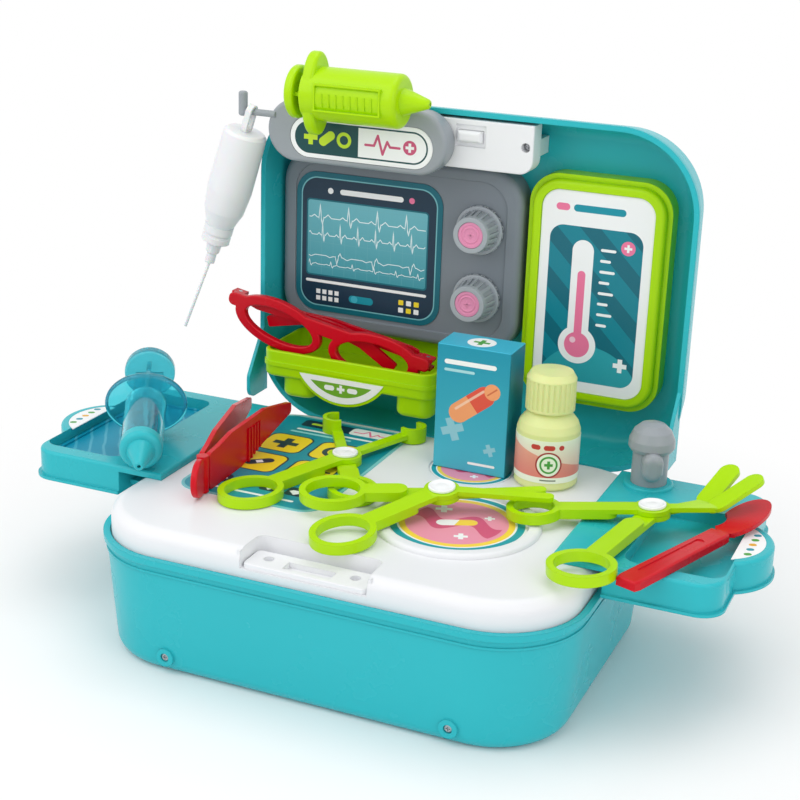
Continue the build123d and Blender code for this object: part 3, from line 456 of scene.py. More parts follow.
def monitor_art():
    """Dark front with a lit screen, heartbeat traces and keys."""
    art = Print("monitor_print", "X", "Z", DEEP_TEAL, (-76.5, 202.0))
    art.lay(art.panel(0, 0, 99, 89, 12), paint(120, 190, 198))
    art.lay(art.panel(0, 0, 97.4, 87.4, 11.4), NAVY)
    # screen
    glow = (art.v / 60 + 0.5).clamped()
    screen = art.shader.mix(glow, paint(48, 146, 162), paint(112, 186, 198))
    art.lay(art.panel(-1, 3, 89, 53, 2.5), DEEP_TEAL)
    art.lay(art.panel(-1, 3, 87, 51, 1.8), screen)
    inside = art.panel(-1, 3, 85, 50, 1.5)
    cell, half_line = 8.5, 0.12
    grid = art.u.from_nearest(cell, 20.5).low(art.v.from_nearest(cell, 20.5))
    art.lay((grid - half_line).high(inside), paint(110, 178, 188), feather=0.2, strength=0.6)
    for base, period, height, phase, width in (
        (17.0, 21.0, 8.0, 4.0, 0.6),
        (5.0, 13.0, 7.0, 1.0, 0.55),
        (-9.0, 27.0, -5.0, 9.0, 0.5),
        (-15.5, 16.0, 2.6, 3.0, 0.45),
    ):
        line = art.trace(base, period, height, phase, width)
        art.lay(line.high(inside), paint(232, 246, 248), feather=0.16)
    # bar and lights above the screen
    art.lay(art.panel(2, 35.8, 46, 3.6, 1.8), WHITE)
    art.lay(art.disc(-28, 35.8, 2.0), WHITE)
    art.lay(art.disc(31, 35.8, 2.0), PINK)
    # keys under the screen
    art.lay(art.panel(-1, -27.2, 89, 2.0, 1.0), WHITE)
    for row in range(2):
        art.lay(art.row(-36, -34.4 - 4.6 * row, step=4.6, count=4, size=3.1), WHITE)
    for row, colours in enumerate(((YELLOW, WHITE, YELLOW), (WHITE, YELLOW, WHITE))):
        for column, colour in enumerate(colours):
            key = art.panel(25.5 + 5.6 * column, -34.0 - 5.2 * row, 3.6, 3.4, 0.5)
            art.lay(key, colour)
    art.lay(art.panel(-4, -36.8, 18, 5, 2.5), TEAL)
    art.lay(art.panel(-9, -36.8, 5, 5, 2.5), SKY)
    return art.close(0.28)


def sign_art():
    """Green half with plus, pill and ring, white half with a heartbeat and a badge."""
    art = Print("sign_print", "X", "Z", WHITE, (-68.5, 279.0))
    green, lime = paint(8, 72, 74), paint(196, 226, 40)
    art.lay(abs(art.panel(0, 0, 91.5, 19.5, 9.7)) - 0.55, green)
    art.lay(art.panel(0, 0, 91, 19, 9.5).high(art.u + 1.5), green)
    art.lay(art.plus(-35.0, 0.2, 9.6, 3.2), lime)
    art.lay(art.panel(-23.5, 0.2, 12.5, 5.8, 2.9, 38), lime)
    art.lay(art.ring(-11.5, 0.2, 4.0, 2.2), lime)
    beat = (
        (3.5, -1.0), (9.5, -1.0), (12.0, 5.5), (15.5, -6.0), (18.5, 2.2), (20.5, -1.0),
        (27.0, -1.0),
    )
    art.lay(art.stroke(beat, 1.6), ROSE)
    art.lay(art.disc(34.0, 0, 4.6), ROSE)
    art.lay(art.plus(34.0, 0, 5.8, 1.8), WHITE)
    return art.close(0.25)


def picture_art():
    """White card with a striped field and a thermometer."""
    art = Print("picture_print", "X", "Z", WHITE, (80.5, 191.5))
    art.lay(art.panel(1, 55, 34, 4.6, 2.3), TEAL)
    art.lay(art.panel(-23, 55, 9, 4.6, 2.3), PINK)
    field = art.panel(0, -7.5, 61, 102, 9)
    stripes = (art.u + art.v).from_nearest(30, 10.2)
    art.lay(field, paint(0, 130, 148))
    art.lay((stripes - 7).high(field + 0.1), paint(0, 104, 122))
    art.lay(field.high(art.disc(0, -70, 36)), paint(40, 160, 172))
    # thermometer, its fluid and its scale
    art.lay(art.panel(-8, 2, 14, 66, 7).low(art.disc(-8, -34, 12.5)), WHITE)
    art.lay(art.panel(-8, -8, 5.2, 46, 2.6).low(art.disc(-8, -34, 8.4)), PINK)
    art.lay(art.disc(-11, -31, 2.0), paint(250, 205, 220))
    for i in range(8):
        x, width = (7, 7) if i % 2 else (8.5, 10)
        art.lay(art.panel(x, 30 - 7 * i, width, 1.8, 0.9), WHITE)
    # badges
    art.lay(art.plus(21.5, -44, 9, 3), WHITE)
    art.lay(art.disc(21, 33, 4.6), PINK)
    art.lay(art.plus(21, 33, 5, 1.5), WHITE)
    return art.close(0.3)


def deck_sheet_art():
    """Teal sheet with a header, four yellow keys and four small ones."""
    middle = box_mm("deck_sheet")[2]
    art = Print("deck_sheet_print", "X", "Y", TEAL, middle)
    art.lay(-art.panel(0, 0, 91, 142, 12), paint(120, 200, 206))
    # header: a heartbeat, a pill and two bars
    art.lay(art.panel(6, 62, 66, 12, 3), NAVY)
    art.lay(art.panel(24, 62, 32, 12, 3), WHITE)
    beat = ((11, 61), (17, 61), (20, 65.5), (24, 57.5), (27, 63), (29, 61), (37, 61))
    art.lay(art.stroke(beat, 1.4), PINK)
    art.lay(art.panel(-10, 62, 22, 3.4, 1.7), paint(190, 224, 60))
    art.lay(art.panel(4, 50, 60, 2.6, 1.3), WHITE)
    art.lay(art.panel(-6, 44.5, 44, 2.6, 1.3), paint(150, 220, 225))
    # large keys and their signs: a plus, a ring, a plaster and a heartbeat
    for x, y in ((-20, 22), (16, 22), (-20, -14), (16, -14)):
        art.lay(art.panel(x, y, 31, 31, 7), NAVY)
        art.lay(art.panel(x, y, 28.6, 28.6, 6), YELLOW)
    art.lay(art.plus(-20, 22, 17, 5.4), NAVY)
    art.lay(art.ring(16, 22, 7.4, 3.4), NAVY)
    art.lay(art.disc(16, 22, 2.6), NAVY)
    art.lay(art.panel(-20, -14, 19, 7.4, 3.7, 40), NAVY)
    art.lay(art.panel(-20, -14, 4.4, 4.4, 0, 40), WHITE)
    beat = ((5, -15), (10, -15), (14, -6), (18, -21), (21, -12), (27, -12))
    art.lay(art.stroke(beat, 2.2), NAVY)
    # small keys
    for i in range(4):
        x = -28 + 17 * i
        art.lay(art.panel(x, -48, 12.5, 12.5, 3), NAVY)
        art.lay(art.panel(x, -48, 6.5, 6.5, 0, 45).high(art.v + 46), WHITE)
    art.lay(art.panel(-2, -62, 60, 2.4, 1.2), WHITE)
    return art.close(0.3)


def dish_art(name, centre, radius):
    """Bands round a dish, with a wave and a capsule in the middle."""
    art = Print(name, "X", "Y", WHITE, centre)
    share = radius / 41
    butter = paint(250, 214, 70)
    for rim, colour in (
        (39.5, paint(16, 158, 172)), (35.0, WHITE), (33.8, butter), (30.0, paint(238, 150, 176)),
    ):
        art.lay(art.disc(0, 0, rim * share), colour)
    wave = abs(art.v - (art.u * (0.2 / share)).sine() * (6 * share)) - 7.0 * share
    art.lay(wave.high(art.disc(0, 0, 27 * share)), paint(214, 84, 126))
    for x, y, size in ((-14, 15, 5), (9, -17, 4), (15, 14, 3)):
        arms = (size * 2 * share, size * 0.7 * share)
        art.lay(art.plus(x * share, y * share, *arms, 20), WHITE)
    capsule = art.panel(0, 0, 24 * share, 8 * share, 4 * share, 25)
    art.lay(capsule, WHITE)
    art.lay(capsule.high(-art.u), butter)
    return art.close(0.28)


def crescent_art(name, node):
    """White crescent with a few short bars, for the trays' lobes."""
    art = Print(name, "X", "Y", WHITE, box_mm(node)[2])
    for i, colour in enumerate((TEAL, LEAF, paint(230, 170, 40), TEAL, LEAF)):
        art.lay(art.panel(0, 14 - 7 * i, 4.5, 3.4, 1.6, 30), colour)
    return art.close(0.3)


def shelf_label_art():
    """Green crescent with a plus between two pills."""
    art = Print("shelf_label_print", "X", "Z", WHITE, (-73.5, 142.0))
    art.lay(art.disc(0, 0, 31.6).high(art.v + 22.4), paint(112, 172, 44))
    art.lay(art.panel(-8.4, -26.0, 7.4, 3.4, 1.7), WHITE)
    art.lay(art.plus(0, -26.0, 5.6, 1.9), WHITE)
    art.lay(art.panel(8.4, -26.0, 7.4, 3.4, 1.7), WHITE)
    return art.close(0.3)


def carton_art():
    """Wrap of the carton: front panel, plain sides and a badge on top."""
    low, high, middle = box_mm("carton")
    art = Print("carton_print", "X", "Z", TEAL, middle.xz)
    height = (art.v / 81 + 0.5).clamped()
    art.colour = art.shader.mix(height, paint(72, 184, 208), paint(0, 146, 174))
    front = art.axes["Y"] - (low.y + 0.6)

    def face(shape, colour, **softness):
        art.lay(shape.high(front), colour, **softness)

    for x, y, size in ((-12, -14, 15), (13, -24, 8), (12, 10, 6)):
        mark = art.plus(x, y, size, size * 0.34, 20)
        face(mark, paint(160, 208, 220), feather=0.2, strength=0.75)
    face(art.panel(-2, 29.6, 34, 3.0, 1.5), WHITE)
    face(art.panel(-9, 24.4, 20, 1.8, 0.9), paint(170, 220, 228))
    # a capsule with its shine, and a scored tablet
    slant = 38
    pill = art.panel(0, 4, 34, 13, 6.5, slant)
    half = pill.high(art.turned(0, 4, slant)[0])
    shine = art.panel(-1.5, 6.8, 24, 1.6, 0.8, slant)
    face(pill, paint(226, 84, 66))
    face(half, APRICOT)
    face(shine, paint(250, 214, 190), feather=0.3, strength=0.7)
    face(art.disc(13, 14, 5.2), APRICOT)
    face(art.panel(13, 14, 8, 1.0, 0.4, slant), paint(214, 110, 70))
    face(art.panel(8, -34.5, 18, 1.6, 0.8), WHITE)
    # the right side, painted darker as painted shade, and the top, painted lighter as painted
    # light, with its badge
    art.lay((high.x - 0.5) - art.axes["X"], paint(0, 118, 140), feather=0.3)
    top = (high.z - 0.5) - art.axes["Z"]
    art.lay(top, paint(50, 176, 206), feather=0.3)
    deep = art.axes["Y"] - middle.y
    art.lay((art.u.length(deep) - 9.0).high(top), WHITE)
    reach, half_width = 5.2, 1.5
    across = (abs(art.u) - reach).high(abs(deep) - half_width)
    along = (abs(art.u) - half_width).high(abs(deep) - reach)
    art.lay(across.low(along).high(top), LEAF)
    return art.close(0.34)


def bottle_label_art():
    """Wave, bars and a round badge, laid round the bottle."""
    middle = box_mm("bottle_label")[2]
    art = Print("bottle_label_print", "X", "Z", WHITE, middle.xz)
    across = art.axes["X"] - middle.x
    deep = art.axes["Y"] - middle.y
    # U is the way round the bottle, from the side that faces the front right
    turn, radius = math.radians(21), 19.8
    right = across * math.cos(turn) + deep * math.sin(turn)
    front = across * math.sin(turn) - deep * math.cos(turn)
    art.u = right.math("ARCTAN2", front) * radius
    band = (art.v / 27 + 0.5).clamped()
    art.colour = art.shader.mix(band, paint(236, 168, 150), paint(236, 244, 220))
    wave = art.shader.mix(band, paint(222, 120, 110), paint(236, 176, 150))
    art.lay(art.v - 2.0 + art.u * 0.28, wave, feather=0.2)
    art.lay(art.v + 9.8, paint(240, 246, 226), feather=0.2)
    for x, width in ((-8.5, 6.0), (0.0, 7.0), (7.6, 3.4)):
        art.lay(art.panel(x, 9.4, width, 3.2, 1.6), paint(196, 60, 52))
    art.lay(art.disc(0, -1.5, 8.2), paint(160, 48, 44))
    art.lay(art.disc(0, -1.5, 7.2), paint(238, 246, 224))
    art.lay(art.ring(0, -1.5, 5.0, 1.2), LEAF)
    art.lay(art.plus(0, -1.5, 5.2, 1.7), LEAF)
    art.lay(art.panel(0, -11.6, 10, 0.9, 0.4), paint(120, 130, 110))
    return art.close(0.32)


# ---- modelling helpers ---------------------------------------------------------------
def object_mode():
    bpy.ops.object.mode_set(mode="OBJECT")


def deselect():
    if bpy.context.object and bpy.context.object.mode != "OBJECT":
        object_mode()
    bpy.ops.object.select_all(action="DESELECT")


def only(obj):
    """Makes this object the one that operators act on."""
    deselect()
    obj.hide_set(False)
    obj.select_set(True)
    bpy.context.view_layer.objects.active = obj


def anywhere(centre, normal):
    return True


def facing_up(centre, normal):
    return normal.z > 0.9


def pick_faces(obj, test):
    """Selects the faces whose centre and normal pass the test, and enters edit mode."""
    only(obj)
    mesh = obj.data
    for part in (mesh.vertices, mesh.edges, mesh.polygons):
        for element in part:
            element.select = False
    for face in mesh.polygons:
        face.select = test(face.center, face.normal)
    bpy.ops.object.mode_set(mode="EDIT")
    bpy.ops.mesh.select_mode(type="FACE")


def inset_faces(thickness, move=0.0):
    """Insets the selected faces, and moves them along Z."""
    bpy.ops.mesh.inset(thickness=thickness)
    if move:
        bpy.ops.transform.translate(value=(0, 0, move))


def apply_place():
    bpy.ops.object.transform_apply(location=True, rotation=True, scale=True)


def bevel(obj, width, segments, angle=40):
    """Rounds the edges that are sharper than the angle, and applies the modifier."""
    only(obj)
    modifier = obj.modifiers.new("soft_edges", "BEVEL")
    modifier.width = width
    modifier.segments = segments
    modifier.limit_method = "ANGLE"
    modifier.angle_limit = math.radians(angle)
    bpy.ops.object.modifier_apply(modifier=modifier.name)


def cut(obj, cutter):
    """Takes the cutter's shape out of the object."""
    only(obj)
    modifier = obj.modifiers.new("cut", "BOOLEAN")
    modifier.operation = "DIFFERENCE"
    modifier.solver = "EXACT"
    modifier.object = cutter
    bpy.ops.object.modifier_apply(modifier=modifier.name)
    bpy.data.objects.remove(cutter, do_unlink=True)


def join(pieces):
    """Joins pieces into the first of them."""
    deselect()
    for piece in pieces:
        piece.select_set(True)
    bpy.context.view_layer.objects.active = pieces[0]
    bpy.ops.object.join()
    return pieces[0]


def lift(obj, height):
    """Moves a mesh along Z within its object."""
    obj.data.transform(Matrix.Translation((0, 0, height)))


def seated(at, direction):
    """Matrix that puts a piece at a place and turns its Z to the direction."""
    turn = Vector(direction).to_track_quat("Z", "Y").to_matrix().to_4x4()
    return Matrix.Translation(at) @ turn


def copy_of(obj, matrix):
    """A copy with its own mesh, moved by the matrix."""
    twin = obj.copy()
    twin.data = obj.data.copy()
    bpy.context.scene.collection.objects.link(twin)
    twin.data.transform(matrix)
    return twin


def block(size, height, turn=0):
    """Box of the given size about a height on Z, turned by so many degrees."""
    bpy.ops.mesh.primitive_cube_add(size=1, location=(0, 0, height))
    bar = bpy.context.object
    bar.scale = size
    bar.rotation_euler.z = math.radians(turn)
    apply_place()
    return bar


def settle(obj, name, body, material, replaced=()):
    """Puts the place into the mesh, smooths, paints and hangs the piece on its body."""
    only(obj)
    obj.name = name
    obj.data.name = name
    apply_place()
    bpy.ops.object.shade_smooth_by_angle(angle=SMOOTH_ANGLE)
    obj.data.materials.clear()
    obj.data.materials.append(material)
    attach(obj, body)
    if replaced:
        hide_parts(*replaced)


def dress(material, *names):
    """Gives carried-over nodes their finish."""
    for name in names:
        mesh = NODES[name].data
        mesh.materials.clear()
        mesh.materials.append(material)


def screw_at(name, body, at, radius, material):
    """Pan-head screw with a cross recess that faces forwards; at is the centre of its seat."""
    deselect()
    height = radius * 0.8
    bpy.ops.mesh.primitive_cylinder_add(vertices=40, radius=radius, depth=height)
    head = bpy.context.object
    pick_faces(head, facing_up)
    inset_faces(radius * 0.25, radius * 0.1)
    object_mode()
    bar_size = (radius * 1.15, radius * 0.26, radius * 0.7)
    bars = [block(bar_size, height / 2 + radius * 0.05, turn) for turn in (0, 90)]
    for bar in bars:
        cut(head, bar)
    bevel(head, radius * 0.06, segments=2)
    head.data.transform(seated(at, FORWARDS))
    settle(head, name, body, material)


def disc(radius, depth, edge, rounding, steps=(), sides=64):
    """Round piece with a flat edge, inside which its top is stepped by pairs of inset and move."""
    deselect()
    bpy.ops.mesh.primitive_cylinder_add(vertices=sides, radius=radius, depth=depth)
    piece = bpy.context.object
    pick_faces(piece, facing_up)
    inset_faces(edge)
    for inset, move in steps:
        inset_faces(inset, move)
    object_mode()
    bevel(piece, rounding, segments=3)
    return piece


# ---- settings -----------------------------------------------------------------------
def colour_setting(name, description, red, green, blue):
    return bpy.props.FloatVectorProperty(
        name=name, description=description, subtype="COLOR", size=4, min=0.0, max=1.0,
        default=paint(red, green, blue),
    )


def length_setting(name, description, default):
    return bpy.props.FloatProperty(
        name=name, description=description, default=default, min=0.0, unit="LENGTH"
    )


def power_setting(name, description, default):
    return bpy.props.FloatProperty(
        name=name, description=description, default=default, min=0.0, unit="POWER"
    )


class CaseColours(bpy.types.PropertyGroup):
    """Colours of the moulded plastics."""

    tub: colour_setting("Case", "Tub, lid and side trays", 44, 184, 194)
    deck: colour_setting("Deck", "White deck and latch parts", 236, 237, 240)
    lime: colour_setting(
        "Lime", "Shelf, picture board, lime syringe and scissor tools", 176, 224, 0
    )
    grey: colour_setting("Grey", "Monitor housing", 126, 134, 142)
    pale_grey: colour_setting("Pale grey", "Sign arm, knobs and faucet", 154, 160, 166)
    red: colour_setting("Red", "Glasses, tweezers and scalpel", 205, 0, 26)
    clear_blue: colour_setting("Clear blue", "Clear syringe", 96, 222, 236)
    cream: colour_setting("Cream", "Pill bottle and its cap", 226, 232, 160)
    pink: colour_setting("Pink", "Caps in the knobs", 228, 146, 182)


class SmallPieceSizes(bpy.types.PropertyGroup):
    """Sizes of the small pieces that are modelled here."""

    screw_radius: length_setting("Screw head", "Radius of the case screws' heads", 0.0024)
    block_screw_radius: length_setting(
        "Block screw", "Radius of the latch block's screw heads", 0.0027
    )
    rivet_radius: length_setting(
        "Rivet cap", "Radius of the white caps on the tools' pivots", 0.008
    )
    rivet_dish: length_setting("Rivet dish", "Depth of the dish in each rivet cap", 0.0007)
    knob_front: length_setting("Knob front", "Radius of a knob's front rim", 0.0116)
    knob_skirt: length_setting("Knob skirt", "Radius of the flange behind a knob", 0.016)
    knob_rim: length_setting(
        "Knob rim", "Depth of the smooth band in front of a knob's ribs", 0.0034
    )
    knob_ribs: bpy.props.IntProperty(
        name="Knob ribs", description="Number of raised ribs round a knob", default=18, min=6,
        max=36,
    )


class StageSettings(bpy.types.PropertyGroup):
    """Floor, lamps and camera."""

    floor_shade: colour_setting("Floor", "Colour of the floor near the case", 250, 250, 250)
    key_power: power_setting("Key lamp", "Large lamp at the upper left", 15.0)
    fill_power: power_setting("Fill lamp", "Large lamp at the right", 6.0)
    top_power: power_setting("Top lamp", "Lamp above the case", 5.0)
    sky_light: bpy.props.FloatProperty(
        name="Sky", description="Even light from all round", default=0.7, min=0.0
    )
    lens: bpy.props.FloatProperty(
        name="Lens", description="Focal length", default=72.08, unit="CAMERA"
    )


# ---- operators -------------------------------------------------------------------------
class DressCase(bpy.types.Operator):
    """Moulded finishes for the tub, deck, lid and side trays"""

    bl_idname = "doctor_case.dress_case"
    bl_label = "Case plastics"
    bl_options = {"REGISTER", "UNDO"}

    def execute(self, context):
        colours = context.scene.case_colours
        shell = moulded("case_turquoise", colours.tub, roughness=0.24, edge=0.8)
        dress(shell, "base_tub", "lid_shell", "tray_left", "tray_right")
        white = moulded("deck_white", colours.deck, roughness=0.3, edge=0.8)
        dress(white, "deck", "latch_plate", "latch_block", "latch_tongue")
        dress(steel("hinge_steel"), "hinge_pins", "temple_pins")
        return {"FINISHED"}


class DressFittings(bpy.types.Operator):
    """Finishes for the monitor, board, shelf, sign and faucet"""

    bl_idname = "doctor_case.dress_fittings"
    bl_label = "Lid fittings"
    bl_options = {"REGISTER", "UNDO"}

    def execute(self, context):
        colours = context.scene.case_colours
        grey = moulded("monitor_grey", colours.grey, roughness=0.34, edge=0.5)
        dress(grey, "monitor_housing")
        pale = moulded("sign_grey", colours.pale_grey, roughness=0.26, edge=0.6)
        dress(pale, "sign_arm", "faucet_post", "faucet_spout")
        lime = moulded("fitting_lime", colours.lime, roughness=0.28, edge=0.5)
        dress(lime, "shelf", "picture_frame")
        return {"FINISHED"}


class DressInstruments(bpy.types.Operator):
    """Finishes for the toy instruments, bottles and syringes"""

    bl_idname = "doctor_case.dress_instruments"
    bl_label = "Instruments"
    bl_options = {"REGISTER", "UNDO"}

    def execute(self, context):
        colours = context.scene.case_colours
        arms = [f"{tool}_tool_{arm}" for tool in RIVET_SEATS for arm in ("lower", "upper")]
        lime = moulded("instrument_lime", colours.lime, roughness=0.26, edge=0.5)
        dress(lime, "lime_barrel", "lime_plunger", *arms)
        red = moulded("instrument_red", colours.red, roughness=0.22, edge=0.4)
        dress(red, "glasses_front", "temple_left", "temple_right")
        dress(red, "tweezer_left", "tweezer_right", "scalpel_handle", "scalpel_blade")
        dress(milky_plastic("bottle_white", colours.deck), "drip_bottle", "drip_cap")
        dress(milky_plastic("bottle_cream", colours.cream), "pill_bottle", "bottle_cap")
        dress(milky_plastic("needle_white", WHITE), "drip_needle")
        dress(clear_plastic("plunger_clear", tone(colours.clear_blue, 0.92)), "clear_plunger")
        dress(tipped_barrel(colours.clear_blue, colours.tub), "clear_barrel")
        return {"FINISHED"}


class LayPrints(bpy.types.Operator):
    """Printed sheets, labels and the carton's wrap"""

    bl_idname = "doctor_case.lay_prints"
    bl_label = "Printed sheets"
    bl_options = {"REGISTER", "UNDO"}

    def execute(self, context):
        dress(monitor_art(), "monitor_label")
        dress(sign_art(), "sign_label")
        dress(picture_art(), "picture_card")
        dress(deck_sheet_art(), "deck_sheet")
        dress(dish_art("ring_sheet_print", (55.0, -20.0), 41), "ring_sheet")
        dress(dish_art("disc_sheet_print", (32.0, 64.0), 26.2), "disc_sheet")
        dress(crescent_art("left_tray_print", "tray_label_left"), "tray_label_left")
        dress(crescent_art("right_tray_print", "tray_label_right"), "tray_label_right")
        dress(shelf_label_art(), "shelf_label")
        dress(carton_art(), "carton")
        dress(bottle_label_art(), "bottle_label")
        dress(water_sheet(), "water_window")
        return {"FINISHED"}


class AddScrews(bpy.types.Operator):
    """Cross-head screws in the tub's front bosses and the latch block"""

    bl_idname = "doctor_case.add_screws"
    bl_label = "Screws"
    bl_options = {"REGISTER", "UNDO"}

    def execute(self, context):
        sizes = context.scene.case_sizes
        metal = steel("screw_steel")
        boss_side, boss_front, boss_height = 0.088, -0.1066, 0.011
        seat_side, seat_sink, seat_height = 0.0365, 0.0068, 0.284
        seat_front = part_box("latch_block")[0].y + seat_sink
        for side, name in ((-1, "left"), (1, "right")):
            at = Vector((side * boss_side, boss_front, boss_height))
            screw_at(f"tub_screw_{name}", "base", at, sizes.screw_radius, metal)
            at = Vector((side * seat_side, seat_front, seat_height))
            screw_at(f"block_screw_{name}", "lid", at, sizes.block_screw_radius, metal)
        return {"FINISHED"}


class AddKnobs(bpy.types.Operator):
    """Ribbed knobs with a flange, and their embossed pink caps"""

    bl_idname = "doctor_case.add_knobs"
    bl_label = "Knobs"
    bl_options = {"REGISTER", "UNDO"}

    def knob(self, sizes):
        """One knob about Z, with its front face at zero."""
        depth, groove = 0.0171, 0.0012
        dish_radius, dish_depth, dish_wall = 0.0086, 0.0016, 0.0001
        flange_step, flange_depth = 0.0016, 0.0022
        stem_length = 0.009
        faces_per_rib, groove_share = 5, 0.6
        deselect()
        bpy.ops.mesh.primitive_cone_add(
            vertices=sizes.knob_ribs * faces_per_rib, radius1=sizes.knob_skirt - flange_step,
            radius2=sizes.knob_front, depth=depth, location=(0, 0, -depth / 2),
        )
        body = bpy.context.object
        apply_place()
        pick_faces(body, anywhere)
        bpy.ops.mesh.bisect(plane_co=(0, 0, -sizes.knob_rim), plane_no=UPWARDS)
        object_mode()
        step = 2 * math.pi / sizes.knob_ribs

        def between_ribs(centre, normal):
            place = (math.atan2(centre.y, centre.x) / step) % 1
            behind_rim = centre.z < -sizes.knob_rim and abs(normal.z) < 0.8
            return behind_rim and place > 1 - groove_share

        pick_faces(body, between_ribs)
        bpy.ops.mesh.extrude_region_shrink_fatten(TRANSFORM_OT_shrink_fatten={"value": -groove})
        object_mode()
        pick_faces(body, facing_up)
        inset_faces(sizes.knob_front - dish_radius)
        inset_faces(dish_wall, -dish_depth)
        object_mode()
        bevel(body, width=0.0011, segments=4, angle=50)
        flange = disc(sizes.knob_skirt, flange_depth, edge=0.0008, rounding=0.0008, sides=80)
        lift(flange, flange_depth / 2 - depth)
        stem = disc(radius=0.003, depth=stem_length, edge=0.0004, rounding=0.0003, sides=24)
        lift(stem, -depth - stem_length / 2)
        return join([body, flange, stem])

    def cap(self):
        """Embossed cap about Z: a ring and a raised plus."""
        wall, groove = 0.00015, 0.0004
        steps = (
            (wall, -groove), (0.0009, 0.0), (wall, groove), (0.0008, 0.0), (wall, -groove),
        )
        face = disc(radius=0.0084, depth=0.0012, edge=0.0019, rounding=0.0002, steps=steps)
        reach, width, height, middle = 0.0046, 0.0015, 0.0006, 0.0002
        bars = [block(size, middle) for size in ((reach, width, height), (width, reach, height))]
        for bar in bars:
            bevel(bar, width=0.0003, segments=2)
        return join([face, *bars])

    def execute(self, context):
        colours = context.scene.case_colours
        sizes = context.scene.case_sizes
        plastic = moulded("knob_grey", tone(colours.pale_grey, 1.18), roughness=0.22, edge=0.3)
        pink = moulded("knob_pink", colours.pink, roughness=0.3, edge=0.2)
        knob, cap = self.knob(sizes), self.cap()
        cap_sink = Vector((0, 0.001, 0))
        for name in ("upper", "lower"):
            node = f"knob_{name}"
            low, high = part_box(node)
            middle = (low + high) / 2
            front = Vector((middle.x, low.y, middle.z))
            body = copy_of(knob, seated(front, FORWARDS))
            settle(body, f"ribbed_knob_{name}", node, plastic, [node])
            face = copy_of(cap, seated(front + cap_sink, FORWARDS))
            settle(face, f"embossed_cap_{name}", node, pink, [f"knob_cap_{name}"])
        for pattern in (knob, cap):
            bpy.data.objects.remove(pattern, do_unlink=True)
        return {"FINISHED"}


class AddRivetCaps(bpy.types.Operator):
    """Dished white caps, with their stems, on the tools' pivots"""

    bl_idname = "doctor_case.add_rivet_caps"
    bl_label = "Rivet caps"
    bl_options = {"REGISTER", "UNDO"}

    def execute(self, context):
        sizes = context.scene.case_sizes
        white = moulded("rivet_white", WHITE, roughness=0.25, edge=0.3)
        cap_height, stem_height = 0.007, 0.0034
        steps = ((0.0009, -sizes.rivet_dish), (0.0022, -0.0002), (0.0006, 0.0003))
        cap = disc(sizes.rivet_radius, depth=0.0018, edge=0.0013, rounding=0.0005, steps=steps)
        lift(cap, cap_height)
        stem = disc(radius=0.003, depth=0.006, edge=0.0003, rounding=0.0002, sides=32)
        lift(stem, stem_height)
        rivet = join([cap, stem])
        for tool, (at, up) in RIVET_SEATS.items():
            piece = copy_of(rivet, seated(Vector(at), up))
            settle(
                piece, f"{tool}_rivet_cap", f"{tool}_tool_lower", white,
                [f"{tool}_tool_rivet"],
            )
        bpy.data.objects.remove(rivet, do_unlink=True)
        return {"FINISHED"}


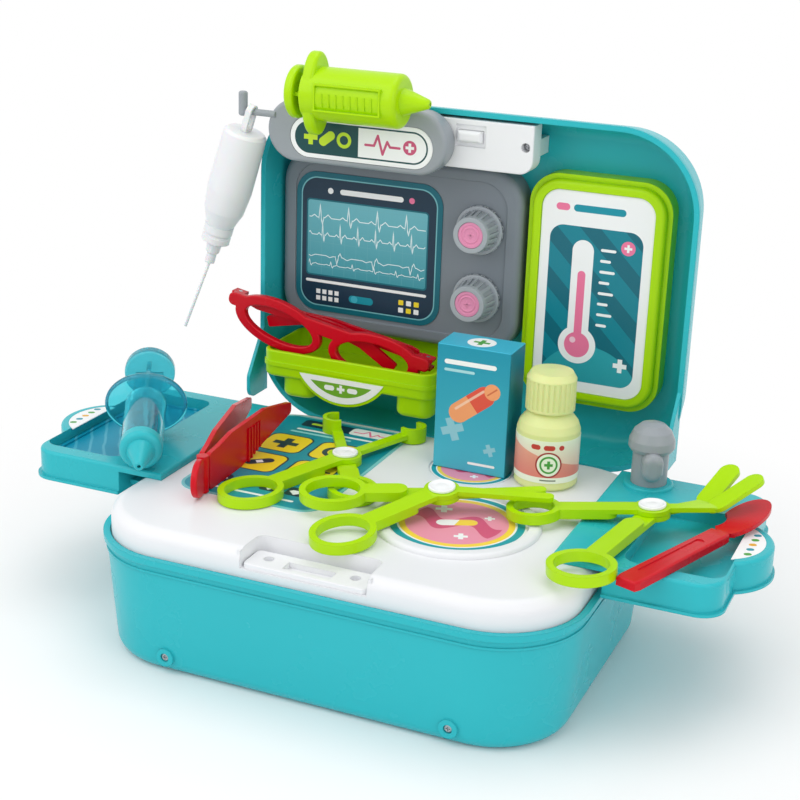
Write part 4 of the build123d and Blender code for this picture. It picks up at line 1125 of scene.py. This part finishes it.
class SetStage(bpy.types.Operator):
    """Pale floor, soft lamps, even sky and the camera"""

    bl_idname = "doctor_case.set_stage"
    bl_label = "Stage"
    bl_options = {"REGISTER", "UNDO"}

    def floor(self, shade):
        """Wide round floor that turns into plain white away from the case."""
        white_from, fade = 190, 260  # millimetres from the case's middle
        deselect()
        bpy.ops.mesh.primitive_circle_add(vertices=96, radius=4.0, fill_type="NGON")
        floor = bpy.context.object
        pick_faces(floor, anywhere)
        for thickness in (2.4, 0.9):
            inset_faces(thickness)
        object_mode()
        floor.name = "floor"
        shader = Shader("pale_floor")
        x, y, _ = shader.axes()
        far = ((x.length(y) - white_from) / fade).clamped()
        grain = shader.noise(40.0, detail=3.0)
        base = shader.mix(grain, tone(shade, 0.985), shade)
        normal = shader.relief(grain, distance=0.02, strength=0.2, radius=0.0)
        matt = shader.node("ShaderNodeBsdfDiffuse", {}, {"Color": base, "Normal": normal})
        seen = shader.seen_directly()
        glow = shader.node("ShaderNodeEmission", {}, {"Color": LIGHT, "Strength": 1.0})
        floor.data.materials.append(shader.finish(shader.blend(seen * far, matt, glow)))

    def lamp(self, name, at, size, power):
        """Soft square lamp aimed at the case."""
        light = bpy.data.lights.new(name, "AREA")
        light.shape = "SQUARE"
        light.size = size
        light.energy = power
        lamp = bpy.data.objects.new(name, light)
        lamp.location = at
        lamp.rotation_euler = (Vector(LAMP_AIM) - Vector(at)).to_track_quat("-Z", "Y").to_euler()
        bpy.context.scene.collection.objects.link(lamp)

    def sky(self, strength):
        """Even light all round, which looks plain white itself."""
        world = bpy.data.worlds.new("even_sky")
        world.use_nodes = True
        bpy.context.scene.world = world
        shader = Shader.on(world.node_tree)
        light, white = (
            shader.node("ShaderNodeBackground", {}, {"Color": LIGHT, "Strength": level})
            for level in (strength, 1.0)
        )
        mixed = shader.blend(shader.seen_directly(), light, white)
        shader.node("ShaderNodeOutputWorld", {}, {"Surface": mixed})

    def camera(self, lens):
        """Camera at the upper right in front of the case."""
        azimuth, elevation, roll = (math.radians(angle) for angle in CAMERA_ANGLES)
        level = math.cos(elevation)
        back = Vector((math.sin(azimuth) * level, -math.cos(azimuth) * level, math.sin(elevation)))
        right = Vector((math.cos(azimuth), math.sin(azimuth), 0))
        up = back.cross(right)
        across = math.cos(roll) * right + math.sin(roll) * up
        above = math.cos(roll) * up - math.sin(roll) * right
        turn = Matrix((across, above, back)).transposed().to_4x4()
        camera = bpy.data.objects.new("camera", bpy.data.cameras.new("camera"))
        camera.data.lens = lens
        camera.data.sensor_width = SENSOR_WIDTH
        camera.data.clip_start, camera.data.clip_end = CAMERA_REACH
        camera.matrix_world = Matrix.Translation(CAMERA_AT) @ turn
        bpy.context.scene.collection.objects.link(camera)
        bpy.context.scene.camera = camera

    def execute(self, context):
        settings = context.scene.case_stage
        self.floor(settings.floor_shade)
        self.lamp("key_lamp", (-0.95, -1.15, 1.45), 2.0, settings.key_power)
        self.lamp("fill_lamp", (1.55, -0.9, 0.95), 1.2, settings.fill_power)
        self.lamp("top_lamp", (0.1, 0.25, 1.7), 1.0, settings.top_power)
        self.sky(settings.sky_light)
        self.camera(settings.lens)
        context.scene.view_settings.view_transform = "Standard"
        return {"FINISHED"}


class DoctorCasePanel(bpy.types.Panel):
    """Lists the steps and settings of the toy doctor case"""

    bl_idname = "VIEW3D_PT_doctor_case"
    bl_label = "Toy doctor case"
    bl_space_type = "VIEW_3D"
    bl_region_type = "UI"
    bl_category = "Doctor Case"

    def draw(self, context):
        for name, group in GROUPS.items():
            settings = getattr(context.scene, name)
            box = self.layout.box()
            box.label(text=group.__doc__)
            for setting in group.__annotations__:
                box.prop(settings, setting)
        for step in STEPS:
            self.layout.operator(step.bl_idname)


STEPS = (
    DressCase, DressFittings, DressInstruments, LayPrints, AddScrews, AddKnobs, AddRivetCaps,
    SetStage,
)
GROUPS = {"case_colours": CaseColours, "case_sizes": SmallPieceSizes, "case_stage": StageSettings}
CLASSES = (*GROUPS.values(), *STEPS, DoctorCasePanel)


def register():
    for kind in CLASSES:
        bpy.utils.register_class(kind)
    for name, group in GROUPS.items():
        setattr(bpy.types.Scene, name, bpy.props.PointerProperty(type=group))


def unregister():
    for name in GROUPS:
        delattr(bpy.types.Scene, name)
    for kind in reversed(CLASSES):
        bpy.utils.unregister_class(kind)


def main():
    register()
    deselect()
    for step in STEPS:
        group, name = step.bl_idname.split(".")
        getattr(getattr(bpy.ops, group), name)()


if __name__ == "__main__":
    main()
